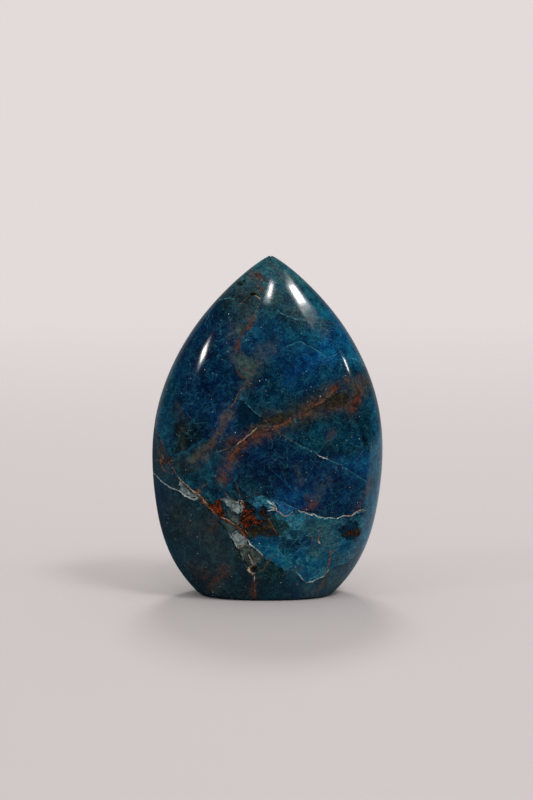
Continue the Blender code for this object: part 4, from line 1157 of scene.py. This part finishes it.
def keep(mesh, name, kind, values):
    """Stores values on the mesh's points for the material to read."""
    attribute = mesh.attributes.new(name, kind, "POINT")
    field = {"FLOAT": "value", "FLOAT_VECTOR": "vector", "FLOAT_COLOR": "color"}[kind]
    attribute.data.foreach_set(field, np.ascontiguousarray(values, np.float32).ravel())


def carve_stone():
    """The flame as one fine closed mesh, with its cracks cut in and its markings stored on it."""
    stone = bmesh.new()
    bmesh.ops.create_grid(stone, x_segments=COLUMNS, y_segments=ROWS + FOOT_ROWS, size=0.5)
    lay_surface(stone)
    bmesh.ops.remove_doubles(stone, verts=stone.verts, dist=0.0005)
    for reach in NEAR_RELIEF:
        halve_faces_near_relief(stone, reach)
    bmesh.ops.recalc_face_normals(stone, faces=stone.faces)
    stone.normal_update()
    stone.verts.index_update()

    points = coordinates(stone.verts)
    normals = np.array([vert.normal for vert in stone.verts], float)
    places = charts(points)
    drawn = {side: wandered(spot) for side, spot in places.items()}
    patches = patch_layers(drawn)
    sunk = relief(points, drawn, patches)
    for vert, place in zip(stone.verts, (points - normals * sunk[:, None]) * MM):
        vert.co = place

    mesh = bpy.data.meshes.new("polished_stone")
    stone.to_mesh(mesh)
    stone.free()
    mesh.shade_smooth()
    full = np.ones((len(points), 1))
    keep(mesh, "ground", "FLOAT_COLOR", np.concatenate([ground_colour(places), full], axis=1))
    keep(mesh, "zones_and_ledge_shading", "FLOAT_VECTOR", np.stack([
        zone_distance(drawn, SLATE_GROUND), zone_distance(drawn, TURQUOISE_GROUND),
        ledge_light(drawn),
    ], axis=1))
    keep(mesh, "hazes", "FLOAT_VECTOR", np.stack([
        haze_density(places, GREY_HAZE, 81),
        haze_density(places, OLIVE_HAZE, 91),
        haze_density(places, RUST_HAZE, 101),
    ], axis=1))
    for number, layer in enumerate(patches):
        keep(mesh, f"patch_{number}", "FLOAT_VECTOR", layer[:, [0, 7, 8]])
        keep(mesh, f"patch_dark_{number}", "FLOAT_COLOR", layer[:, [1, 2, 3, 9]])
        keep(mesh, f"patch_light_{number}", "FLOAT_VECTOR", layer[:, 4:7])
    lines = in_layers(LINES)
    for number, layer in enumerate(lines):
        marks, fillings = line_marks(drawn, layer)
        keep(mesh, f"line_{number}", "FLOAT_VECTOR", marks)
        keep(mesh, f"filling_{number}", "FLOAT_COLOR", fillings)
    return mesh, len(patches), len(lines)


class Sheet:
    """A node tree with short ways to add to it. A value given may be a number or another socket."""

    def __init__(self, tree):
        self.tree = tree

    def put(self, kind, inputs=(), **settings):
        node = self.tree.nodes.new(kind)
        for name, value in settings.items():
            setattr(node, name, value)
        for name, value in dict(inputs).items():
            self.feed(node.inputs[name], value)
        return node

    def feed(self, socket, value):
        if isinstance(value, bpy.types.NodeSocket):
            self.tree.links.new(value, socket)
        else:
            socket.default_value = value

    def math(self, operation, first, second=0.0, clamp=False):
        inputs = {0: first, 1: second}
        return self.put("ShaderNodeMath", inputs, operation=operation, use_clamp=clamp).outputs[0]

    def vector(self, operation, first, second=(0.0, 0.0, 0.0)):
        return self.put("ShaderNodeVectorMath", {0: first, 1: second}, operation=operation).outputs[0]

    def mix(self, factor, first, second, blend="MIX"):
        inputs = {0: factor, 6: first, 7: second}
        node = self.put("ShaderNodeMix", inputs, data_type="RGBA", blend_type=blend)
        return node.outputs[2]

    def span(self, value, low, high, bottom=0.0, top=1.0, ease="SMOOTHSTEP"):
        """The value's place between low and high, as a number from bottom to top."""
        inputs = {0: value, 1: low, 2: high, 3: bottom, 4: top}
        return self.put("ShaderNodeMapRange", inputs, interpolation_type=ease).outputs[0]

    def noise(self, place, size, detail=2.0, roughness=0.5, distortion=0.0):
        inputs = {
            "Vector": place, "Scale": 1.0 / size, "Detail": detail, "Roughness": roughness,
            "Distortion": distortion,
        }
        return self.put("ShaderNodeTexNoise", inputs)

    def cells(self, place, size, feature="F1"):
        inputs = {"Vector": place, "Scale": 1.0 / size}
        return self.put("ShaderNodeTexVoronoi", inputs, feature=feature)

    def parts(self, vector):
        return self.put("ShaderNodeSeparateXYZ", {0: vector}).outputs

    def channels(self, colour):
        return self.put("ShaderNodeSeparateColor", {0: colour}).outputs

    def marks(self, name):
        return self.put("ShaderNodeAttribute", attribute_name=name)


def shader_group(name, inputs, outputs):
    """An empty node group with these named sockets, and the sheet to fill it in."""
    group = bpy.data.node_groups.new(name, "ShaderNodeTree")
    for title, kind in inputs.items():
        group.interface.new_socket(title, in_out="INPUT", socket_type="NodeSocket" + kind)
    for title, kind in outputs.items():
        group.interface.new_socket(title, in_out="OUTPUT", socket_type="NodeSocket" + kind)
    sheet = Sheet(group)
    return group, sheet, sheet.put("NodeGroupInput").outputs, sheet.put("NodeGroupOutput").inputs


def line_mask_group():
    """Turns a stored line mark into a mask that is beaded and broken like a filled crack."""
    group, sheet, given, out = shader_group(
        "line_mask",
        {"Mark": "Vector", "Softness": "Float", "Wander": "Float", "Beads": "Float", "Gaps": "Float"},
        {"Mask": "Float"},
    )
    off, wide, strength = sheet.parts(given["Mark"])
    distance = sheet.math("ABSOLUTE", sheet.math("ADD", off, given["Wander"]))
    reach = sheet.math("MULTIPLY", wide, sheet.span(given["Beads"], 0.34, 0.66, 0.75, 1.7, "LINEAR"))
    core = sheet.math("MULTIPLY", reach, sheet.math("SUBTRACT", 1.0, given["Softness"]))
    mask = sheet.span(distance, core, sheet.math("ADD", reach, 0.03), 1.0, 0.0)
    there = sheet.math("MULTIPLY", sheet.span(wide, 0.01, 0.07), strength)
    faintest = sheet.span(wide, 0.15, 0.5, 0.35, 0.0)
    gaps = sheet.span(given["Gaps"], 0.40, 0.56, faintest, 1.0)
    sheet.feed(out["Mask"], sheet.math("MULTIPLY", sheet.math("MULTIPLY", mask, there), gaps))
    return group


def patch_mask_group():
    """Turns a stored distance from an outline into a mask, ragged by a noise, and a thin band round its edge for
    painted shade.
    """
    group, sheet, given, out = shader_group(
        "patch_mask",
        {"Distance": "Float", "Noise": "Float", "Raggedness": "Float", "Softness": "Float"},
        {"Mask": "Float", "Shade Rim": "Float"},
    )
    ragged = sheet.math("MULTIPLY", sheet.math("SUBTRACT", given["Noise"], 0.5), given["Raggedness"])
    distance = sheet.math("ADD", given["Distance"], ragged)
    low = sheet.math("MULTIPLY", given["Softness"], -1.0)
    sheet.feed(out["Mask"], sheet.span(distance, low, given["Softness"], 1.0, 0.0))
    beyond = sheet.math("ABSOLUTE", sheet.math("SUBTRACT", distance, 0.12))
    sheet.feed(out["Shade Rim"], sheet.span(beyond, 0.05, 0.3, 1.0, 0.0))
    return group


def fibre_group():
    """Straight hair-fine threads that run one way: the level lines of a stretched noise."""
    group, sheet, given, out = shader_group(
        "fibres",
        {"Place": "Vector", "Tilt": "Vector", "Spacing": "Float", "Thinness": "Float"},
        {"Mask": "Float"},
    )
    turned = sheet.put("ShaderNodeVectorRotate", {
        "Vector": given["Place"], "Rotation": given["Tilt"],
    }, rotation_type="EULER_XYZ").outputs[0]
    drawn_out = sheet.vector("MULTIPLY", turned, (0.018, 1.0, 1.0))
    noise = sheet.put("ShaderNodeTexNoise", {
        "Vector": drawn_out, "Scale": sheet.math("DIVIDE", 1.0, given["Spacing"]),
        "Detail": 1.0, "Roughness": 0.5,
    }).outputs[0]
    gap = sheet.math("ABSOLUTE", sheet.math("SUBTRACT", noise, 0.5))
    thread = sheet.span(gap, 0.0, given["Thinness"], 1.0, 0.0)
    broken = sheet.noise(given["Place"], 7.0, 2.0).outputs[0]
    sheet.feed(out["Mask"], sheet.math("MULTIPLY", thread, sheet.span(broken, 0.42, 0.56)))
    return group


def tint(*screen_colour):
    """A colour socket's value from screen values."""
    return (*linear(screen_colour), 1.0)


# Threads: tilt from level in degrees, spacing, thinness, strength, colour.
THREADS = [
    (37.0, 0.9, 0.014, 0.24, (14, 88, 128)),
    (41.0, 2.2, 0.0040, 0.42, (34, 116, 146)),
    (33.0, 3.4, 0.0024, 0.42, (56, 130, 150)),
    (-34.0, 1.1, 0.012, 0.18, (18, 88, 120)),
    (-58.0, 2.8, 0.0032, 0.38, (46, 116, 136)),
    (76.0, 2.2, 0.0042, 0.32, (26, 92, 120)),
]

# Specks: size of the cells they sit in, radius, share of cells left empty, strength, two colours.
SPECKS = [
    (0.46, 0.060, 0.30, 0.60, (36, 112, 146), (112, 146, 142)),
    (0.75, 0.080, 0.40, 0.80, (96, 156, 172), (160, 164, 146)),
    (1.30, 0.105, 0.50, 1.0, (196, 222, 226), (206, 180, 146)),
    (2.00, 0.150, 0.60, 1.0, (236, 244, 244), (200, 140, 90)),
    (0.56, 0.110, 0.30, 0.80, (0, 6, 12), (5, 7, 7)),
    (1.1, 0.190, 0.45, 0.75, (0, 8, 14), (6, 8, 6)),
]


def polished_apatite(patch_count, line_count):
    """The polished stone: blue ground, hazes, threads, specks, patches of other stone, and cracks."""
    material = bpy.data.materials.new("polished_apatite")
    material.use_nodes = True
    material.node_tree.nodes.clear()
    sheet = Sheet(material.node_tree)
    line_mask, patch_mask, fibres = line_mask_group(), patch_mask_group(), fibre_group()

    def fill(tree, inputs):
        node = sheet.put("ShaderNodeGroup", node_tree=tree)
        for name, value in inputs.items():
            sheet.feed(node.inputs[name], value)
        return node.outputs

    object_place = sheet.put("ShaderNodeTexCoord").outputs["Object"]
    place = sheet.vector("MULTIPLY", object_place, (1000.0, 1000.0, 1000.0))
    drift = sheet.vector("SUBTRACT", sheet.noise(place, 4.5, 3.0).outputs[1], (0.5, 0.5, 0.5))
    warped = sheet.vector("ADD", place, sheet.vector("MULTIPLY", drift, (3.2, 3.2, 3.2)))
    bent = sheet.vector("ADD", place, sheet.vector("MULTIPLY", drift, (0.5, 0.5, 0.5)))
    shattered = sheet.vector("ADD", place, sheet.vector("MULTIPLY", drift, (1.4, 1.4, 1.4)))

    broad = sheet.noise(warped, 7.0, 4.0, 0.6).outputs[0]
    medium = sheet.noise(warped, 2.0, 5.0, 0.66).outputs[0]
    small = sheet.noise(bent, 0.95, 3.0, 0.65).outputs[0]
    fine = sheet.noise(place, 0.5, 3.0, 0.65).outputs[0]
    grit = sheet.noise(place, 0.20, 1.0, 0.6).outputs[0]
    chips = sheet.cells(bent, 0.85)
    chip = sheet.channels(chips.outputs["Color"])[0]
    glint = sheet.channels(sheet.cells(place, 0.27).outputs["Color"])[0]
    jitter = sheet.math("MULTIPLY", sheet.math("SUBTRACT", small, 0.5), 0.5)
    jitter = sheet.math("ADD", jitter, sheet.math("MULTIPLY", sheet.math("SUBTRACT", fine, 0.5), 0.35))

    slate_distance, turquoise_distance, ledge_light_and_shade = sheet.parts(sheet.marks("zones_and_ledge_shading").outputs["Vector"])
    hazes = sheet.parts(sheet.marks("hazes").outputs["Vector"])
    turquoise = fill(patch_mask, {
        "Distance": turquoise_distance, "Noise": small, "Raggedness": 0.5, "Softness": 0.2,
    })["Mask"]
    slate = fill(patch_mask, {
        "Distance": slate_distance, "Noise": small, "Raggedness": 0.5, "Softness": 0.2,
    })["Mask"]

    # The ground, mottled at several sizes, in facets, and calmer in the dull stone.
    ground = sheet.marks("ground").outputs["Color"]
    light = sheet.math("MULTIPLY", sheet.span(broad, 0.3, 0.7, 0.62, 1.45, "LINEAR"),
                       sheet.span(medium, 0.3, 0.7, 0.62, 1.45, "LINEAR"))
    for noise, least, most in ((small, 0.85, 1.16), (fine, 0.84, 1.18), (grit, 0.42, 1.60)):
        light = sheet.math("MULTIPLY", light, sheet.span(noise, 0.3, 0.7, least, most, "LINEAR"))
    light = sheet.math("MULTIPLY", light, sheet.span(glint, 0.0, 1.0, 0.50, 1.50, "LINEAR"))
    facets = []
    for size, spread in ((5.2, 0.34), (2.3, 0.20)):
        facet = sheet.channels(sheet.cells(shattered, size).outputs["Color"])[0]
        facets.append(facet)
        wider = sheet.math("ADD", sheet.math("MULTIPLY", turquoise, 0.30), spread)
        part = sheet.math("MULTIPLY", sheet.math("SUBTRACT", facet, 0.5), wider)
        light = sheet.math("MULTIPLY", light, sheet.math("ADD", part, 1.0))
    dull = sheet.math("SUBTRACT", slate, turquoise, True)
    calm = sheet.math("ADD", sheet.math("MULTIPLY", dull, 0.5), sheet.math("MULTIPLY", turquoise, 0.25))
    light = sheet.math("ADD", sheet.math("MULTIPLY", light, sheet.math("SUBTRACT", 1.0, calm)), calm)
    shift = sheet.span(medium, 0.35, 0.65, 0.0, 1.0, "LINEAR")
    shift = sheet.math("ADD", shift, sheet.math("MULTIPLY", sheet.math("SUBTRACT", facets[1], 0.5), 0.4))
    colour = sheet.mix(1.0, ground, sheet.put("ShaderNodeCombineXYZ", {
        0: sheet.math("MULTIPLY", light, sheet.span(shift, 0.0, 1.0, 0.5, 1.3, "LINEAR")),
        1: sheet.math("MULTIPLY", light, sheet.span(shift, 0.0, 1.0, 0.82, 1.2, "LINEAR")),
        2: sheet.math("MULTIPLY", light, sheet.span(shift, 0.0, 1.0, 1.08, 0.94, "LINEAR")),
    }).outputs[0], "MULTIPLY")

    # Teal smoke, and a net of fine crackle, thickest where the stone is turquoise.
    smoke = sheet.math("MULTIPLY", sheet.span(broad, 0.5, 0.66), sheet.span(medium, 0.45, 0.62))
    colour = sheet.mix(sheet.math("MULTIPLY", smoke, 0.22), colour, tint(4, 74, 100))
    for size, thinness, strength, spread in ((5.2, 0.020, 0.24, 0.46), (2.3, 0.038, 0.18, 0.46),
                                             (1.0, 0.060, 0.07, 0.20)):
        net = sheet.cells(shattered, size, "DISTANCE_TO_EDGE").outputs["Distance"]
        netted = sheet.math("ADD", sheet.math("MULTIPLY", turquoise, spread), strength)
        seen = sheet.math("MULTIPLY", sheet.span(net, 0.0, thinness, 1.0, 0.0),
                          sheet.span(medium, 0.42, 0.58))
        colour = sheet.mix(sheet.math("MULTIPLY", seen, netted), colour, tint(70, 144, 156))
    for tilt, spacing, thinness, strength, screen_colour in THREADS:
        thread = fill(fibres, {
            "Place": bent, "Tilt": (0.0, math.radians(tilt), 0.0), "Spacing": spacing,
            "Thinness": thinness,
        })["Mask"]
        colour = sheet.mix(sheet.math("MULTIPLY", thread, strength), colour, tint(*screen_colour))

    # The stone below the main seam is duller and greyer.
    colour = sheet.mix(sheet.math("MULTIPLY", dull, 0.35), colour, tint(34, 50, 56))

    # Hazes: grey, olive and rusty.
    cloudy = sheet.span(medium, 0.34, 0.62, 0.3, 1.0)
    mottle = sheet.math("ADD", sheet.math("MULTIPLY", small, 0.6), sheet.math("MULTIPLY", grit, 0.4))
    grains = sheet.math("MULTIPLY", cloudy, sheet.span(fine, 0.34, 0.62, 0.35, 1.0))
    for density, screen_colour, thickness, breakup in (
        (hazes[0], (72, 82, 80), 0.80, cloudy),
        (hazes[1], (58, 56, 44), 0.85, cloudy),
        (hazes[2], (100, 62, 42), 0.92, grains),
    ):
        covered = sheet.math("MULTIPLY", density, breakup)
        shade = sheet.mix(sheet.span(mottle, 0.36, 0.64), tint(*(0.50 * part for part in screen_colour)),
                          tint(*(1.26 * part for part in screen_colour)))
        colour = sheet.mix(sheet.math("MULTIPLY", covered, thickness), colour, shade)

    # Painted light on one side of a crack and painted shade on the other.
    lit = sheet.math("MULTIPLY", sheet.math("MAXIMUM", ledge_light_and_shade, 0.0), sheet.span(medium, 0.3, 0.6, 0.5, 1.1))
    shaded = sheet.math("MULTIPLY", sheet.math("MAXIMUM", sheet.math("MULTIPLY", ledge_light_and_shade, -1.0), 0.0), 0.85)
    colour = sheet.mix(sheet.math("MULTIPLY", lit, 0.42), colour, tint(44, 138, 160))
    colour = sheet.mix(shaded, colour, tint(1, 12, 20))

    # Specks of other minerals.
    for size, radius, empty, strength, first, second in SPECKS:
        dots = sheet.cells(place, size)
        dot = sheet.span(dots.outputs["Distance"], 0.45 * radius / size, radius / size, 1.0, 0.0)
        chance, kind, _ = sheet.channels(dots.outputs["Color"])
        seen = sheet.math("MULTIPLY", dot, sheet.span(chance, empty, empty + 0.12))
        shade = sheet.mix(sheet.span(kind, 0.6, 0.75), tint(*first), tint(*second))
        colour = sheet.mix(sheet.math("MULTIPLY", seen, strength), colour, shade)

    # Patches of other stone: ragged chips of two colours, dark between the chips; crusts are grainy.
    mingled = sheet.math("ADD", sheet.math("MULTIPLY", medium, 0.6), sheet.math("MULTIPLY", fine, 0.25))
    mingled = sheet.math("ADD", mingled, sheet.math("MULTIPLY", chip, 0.15))
    grainy = sheet.math("ADD", sheet.math("MULTIPLY", medium, 0.45), sheet.math("MULTIPLY", small, 0.3))
    grainy = sheet.math("ADD", grainy, sheet.math("MULTIPLY", grit, 0.25))
    joints = sheet.cells(bent, 0.85, "DISTANCE_TO_EDGE").outputs["Distance"]
    pale_net = sheet.math("MULTIPLY", sheet.span(joints, 0.0, 0.07, 1.0, 0.0), sheet.span(fine, 0.42, 0.54))
    joints = sheet.math("MULTIPLY", sheet.span(joints, 0.0, 0.11, 1.0, 0.0), sheet.span(small, 0.44, 0.58))
    raggedness = sheet.math("ADD", sheet.math("MULTIPLY", chip, 0.62), sheet.math("MULTIPLY", fine, 0.38))
    crusty = sheet.math("MULTIPLY", slate, 0.0)
    for number in range(patch_count):
        distance, crust, softness = sheet.parts(sheet.marks(f"patch_{number}").outputs["Vector"])
        dark, _, _, net = sheet.marks(f"patch_dark_{number}").outputs
        pale = sheet.marks(f"patch_light_{number}").outputs["Color"]
        patch = fill(patch_mask, {
            "Distance": distance, "Noise": raggedness, "Raggedness": 1.7, "Softness": softness,
        })
        mingling = sheet.span(mingled, 0.40, 0.60)
        grains = sheet.span(grainy, 0.47, 0.62)
        blend = sheet.math("ADD", sheet.math("MULTIPLY", mingling, sheet.math("SUBTRACT", 1.0, crust)),
                           sheet.math("MULTIPLY", grains, crust))
        filling = sheet.mix(blend, dark, pale)
        # Pale grains in the crusts: partly the crust's own pale grains and partly painted glints.
        pale_grains_and_glints = sheet.math("MULTIPLY", crust, sheet.span(grit, 0.62, 0.70))
        filling = sheet.mix(sheet.math("MULTIPLY", pale_grains_and_glints, 0.8), filling,
                            sheet.mix(0.4, pale, tint(236, 170, 120)))
        cracked = sheet.math("MULTIPLY", pale_net, net)
        filling = sheet.mix(cracked, filling, tint(150, 196, 200))
        filling = sheet.mix(sheet.math("MULTIPLY", joints, sheet.math("MULTIPLY", crust, 0.9)), filling,
                            tint(8, 10, 10))
        # Painted shade: a dark rim on the stone just round each crusty patch, where its sunk edge would be in
        # shadow.
        shade_rim = sheet.math("MULTIPLY", patch["Shade Rim"], sheet.span(crust, 0.15, 0.5))
        shade_rim = sheet.math("MULTIPLY", shade_rim, sheet.span(small, 0.44, 0.54))
        colour = sheet.mix(sheet.math("MULTIPLY", shade_rim, 0.8), colour, tint(8, 14, 15))
        cover = sheet.span(medium, 0.30, 0.44, 0.45, 0.95)
        filling = sheet.mix(sheet.span(glint, 0.0, 0.5, 0.55, 0.0), filling, dark)
        colour = sheet.mix(sheet.math("MULTIPLY", patch["Mask"], cover), colour, filling)
        crusty = sheet.math("MAXIMUM", crusty, sheet.math("MULTIPLY", patch["Mask"], crust))

    # The lines: cracks filled with white, ice, rust and the rest.
    filled = sheet.math("MULTIPLY", slate, 0.0)
    for number in range(line_count):
        filling = sheet.marks(f"filling_{number}").outputs
        seen = fill(line_mask, {
            "Mark": sheet.marks(f"line_{number}").outputs["Vector"], "Softness": filling["Alpha"],
            "Wander": jitter, "Beads": fine, "Gaps": small,
        })["Mask"]
        grained = sheet.mix(1.0, filling["Color"], sheet.put("ShaderNodeCombineXYZ", {
            axis: sheet.span(glint, 0.0, 1.0, 0.40, 1.35, "LINEAR") for axis in range(3)
        }).outputs[0], "MULTIPLY")
        colour = sheet.mix(seen, colour, grained)
        filled = sheet.math("MAXIMUM", filled, seen)

    roughness = sheet.math("ADD", 0.35, sheet.math("MULTIPLY", crusty, 0.25))
    polish = sheet.math("SUBTRACT", 1.0, sheet.math("MULTIPLY", crusty, 0.96))
    polish = sheet.math("SUBTRACT", polish, sheet.math("MULTIPLY", filled, 0.4), True)
    height = sheet.math("MULTIPLY", fine, sheet.math("ADD", crusty, 0.006))
    bump = sheet.put("ShaderNodeBump", {"Strength": 1.0, "Distance": 0.00018, "Height": height})
    surface = sheet.put("ShaderNodeBsdfPrincipled", {
        "Base Color": colour, "Roughness": roughness, "Normal": bump.outputs[0],
        "Specular IOR Level": 0.01, "Coat Weight": polish, "Coat Roughness": 0.09, "Coat IOR": 1.63,
    })
    sheet.put("ShaderNodeOutputMaterial", {"Surface": surface.outputs[0]})
    return material


def pale_floor():
    """A pale disc that fades out into the backdrop's colour; plain to the camera, but darker in reflections, with
    a painted bright patch seen only in reflections.
    """
    disc = bmesh.new()
    bmesh.ops.create_circle(disc, cap_ends=True, segments=96, radius=FLOOR_RADIUS)
    bmesh.ops.translate(disc, verts=disc.verts, vec=(0.0, 0.0, -0.00005))
    mesh = bpy.data.meshes.new("pale_floor")
    disc.to_mesh(mesh)
    disc.free()
    floor = bpy.data.objects.new("pale_floor", mesh)
    bpy.context.collection.objects.link(floor)

    material = bpy.data.materials.new("pale_floor")
    material.use_nodes = True
    material.node_tree.nodes.clear()
    sheet = Sheet(material.node_tree)
    place = sheet.put("ShaderNodeTexCoord").outputs["Object"]
    radius = sheet.put("ShaderNodeVectorMath", {0: place}, operation="LENGTH").outputs["Value"]
    # To the camera the floor is plain; in reflections it is darker, with a painted bright patch just right of and
    # in front of the stone, which the stone mirrors as a pale reflection.
    glossy = sheet.put("ShaderNodeLightPath").outputs["Is Glossy Ray"]
    rightwards, backwards, _ = sheet.parts(place)
    bright = sheet.math("MULTIPLY", sheet.span(rightwards, 0.012, 0.040), sheet.span(backwards, -0.018, -0.003))
    mirrored = sheet.mix(bright, FLOOR_IN_REFLECTIONS, BRIGHT_FLOOR_IN_REFLECTIONS)
    shade = sheet.mix(glossy, FLOOR_COLOUR, mirrored)
    solid = sheet.put("ShaderNodeBsdfDiffuse", {"Color": shade})
    clear = sheet.put("ShaderNodeBsdfTransparent")
    fade = sheet.span(radius, FLOOR_FADE[0], FLOOR_FADE[1])
    both = sheet.put("ShaderNodeMixShader", {0: fade, 1: solid.outputs[0], 2: clear.outputs[0]})
    sheet.put("ShaderNodeOutputMaterial", {"Surface": both.outputs[0]})
    mesh.materials.append(material)
    return floor


FLOOR_RADIUS = 1.1
FLOOR_FADE = (0.3, 1.0)
FLOOR_COLOUR = (0.55, 0.51, 0.51, 1.0)
FLOOR_IN_REFLECTIONS = (0.020, 0.024, 0.028, 1.0)
BRIGHT_FLOOR_IN_REFLECTIONS = (0.24, 0.29, 0.33, 1.0)
BACKDROP_COLOUR = tint(226, 219, 217)
FILL_LIGHT = 0.60

# Softboxes: name, the two ends of its middle line as (side from the front towards the right,
# height above the floor) in degrees, its breadth in degrees, and its brightness.
SOFTBOXES = [
    ("key_light", (44.6, 55.8), (45.8, 48.8), 14.0, 20.0),
    ("key_halo", (44.0, 58.0), (48.0, 46.0), 20.0, 3.0),
    ("key_glow", (42.0, 60.5), (54.0, 42.0), 27.0, 1.0),
    ("tip_light", (2.2, 54.5), (-1.2, 48.6), 1.9, 24.0),
    ("tip_glow", (3.2, 56.5), (-2.6, 46.0), 3.6, 3.5),
    ("left_light", (-62.6, 32.4), (-55.4, 27.8), 4.0, 20.0),
    ("left_glow", (-64.5, 34.5), (-53.5, 25.5), 6.0, 2.6),
    ("right_light", (73.6, 26.4), (72.8, 22.0), 2.6, 22.0),
    ("back_light", (176.0, 50.0), (184.0, 41.0), 15.0, 26.0),
]
SOFTBOX_COLOUR = (1.0, 0.98, 0.95)
LIGHT_DISTANCE = 1.3
LIGHT_AIM = Vector((0.0, -0.006, 0.070))


def direction(side, height):
    side, height = math.radians(side), math.radians(height)
    return Vector((
        math.sin(side) * math.cos(height), -math.cos(side) * math.cos(height), math.sin(height),
    ))


def hang_softbox(name, top, bottom, breadth, brightness):
    """An oblong light that faces the stone, as long as from the one direction to the other."""
    top, bottom = direction(*top), direction(*bottom)
    towards = (top + bottom).normalized()
    along = (top - bottom).normalized()
    lamp = bpy.data.lights.new(name, "AREA")
    lamp.shape = "RECTANGLE"
    lamp.size = 2.0 * LIGHT_DISTANCE * math.tan(math.radians(breadth) / 2)
    lamp.size_y = LIGHT_DISTANCE * (top - bottom).length
    lamp.energy = brightness * math.pi * lamp.size * lamp.size_y
    lamp.color = SOFTBOX_COLOUR
    box = bpy.data.objects.new(name, lamp)
    axes = Matrix((along.cross(towards), along, towards)).transposed()
    box.matrix_world = Matrix.Translation(LIGHT_AIM + towards * LIGHT_DISTANCE) @ axes.to_4x4()
    box.visible_camera = False
    bpy.context.collection.objects.link(box)


DARK_ROOM = (0.008, 0.010, 0.012, 1.0)
SIDE_WALLS = (0.010, 0.050, 0.085, 1.0)
BACK_WALL = (0.18, 0.19, 0.20, 1.0)


def studio_surroundings():
    """A plain backdrop for the camera, an even fill, and a dark front with a pale back to mirror."""
    world = bpy.data.worlds.new("studio")
    world.use_nodes = True
    world.node_tree.nodes.clear()
    sheet = Sheet(world.node_tree)
    _, back, _ = sheet.parts(sheet.put("ShaderNodeTexCoord").outputs["Generated"])
    path = sheet.put("ShaderNodeLightPath").outputs
    band = sheet.mix(sheet.span(back, 0.0, 0.02), DARK_ROOM, SIDE_WALLS)
    mirrored = sheet.mix(sheet.span(back, 0.45, 0.95), band, BACK_WALL)
    light = sheet.mix(path["Is Glossy Ray"], (FILL_LIGHT, FILL_LIGHT, FILL_LIGHT, 1.0), mirrored)
    light = sheet.mix(path["Is Camera Ray"], light, BACKDROP_COLOUR)
    glow = sheet.put("ShaderNodeBackground", {"Color": light})
    sheet.put("ShaderNodeOutputWorld", {"Surface": glow.outputs[0]})
    bpy.context.scene.world = world


# The camera stands as in the photograph: a little above the stone's middle, looking down at it.
CAMERA_DISTANCE = 0.588
CAMERA_PITCH = math.radians(6.5)
CAMERA_AIM = Vector((-0.00026, 0.0, 0.05175))
CAMERA_LENS = 100.0


def place_camera():
    camera = bpy.data.objects.new("camera", bpy.data.cameras.new("camera"))
    camera.data.lens = CAMERA_LENS
    camera.data.sensor_width = 36.0
    camera.data.clip_start, camera.data.clip_end = 0.01, 10.0
    away = Vector((0.0, -math.cos(CAMERA_PITCH), math.sin(CAMERA_PITCH)))
    camera.location = CAMERA_AIM + away * CAMERA_DISTANCE
    camera.rotation_euler = (math.pi / 2 - CAMERA_PITCH, 0.0, 0.0)
    bpy.context.collection.objects.link(camera)
    bpy.context.scene.camera = camera


place_camera()
studio_surroundings()
for softbox in SOFTBOXES:
    hang_softbox(*softbox)
bpy.context.scene.view_settings.view_transform = "Standard"
pale_floor()

stone_mesh, *layer_counts = carve_stone()
stone_mesh.materials.append(polished_apatite(*layer_counts))
polished_stone = bpy.data.objects.new("polished_stone", stone_mesh)
bpy.context.collection.objects.link(polished_stone)
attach(polished_stone, "root")
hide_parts("stone")
print("layers", layer_counts, "triangles", sum(len(face.vertices) - 2 for face in stone_mesh.polygons))
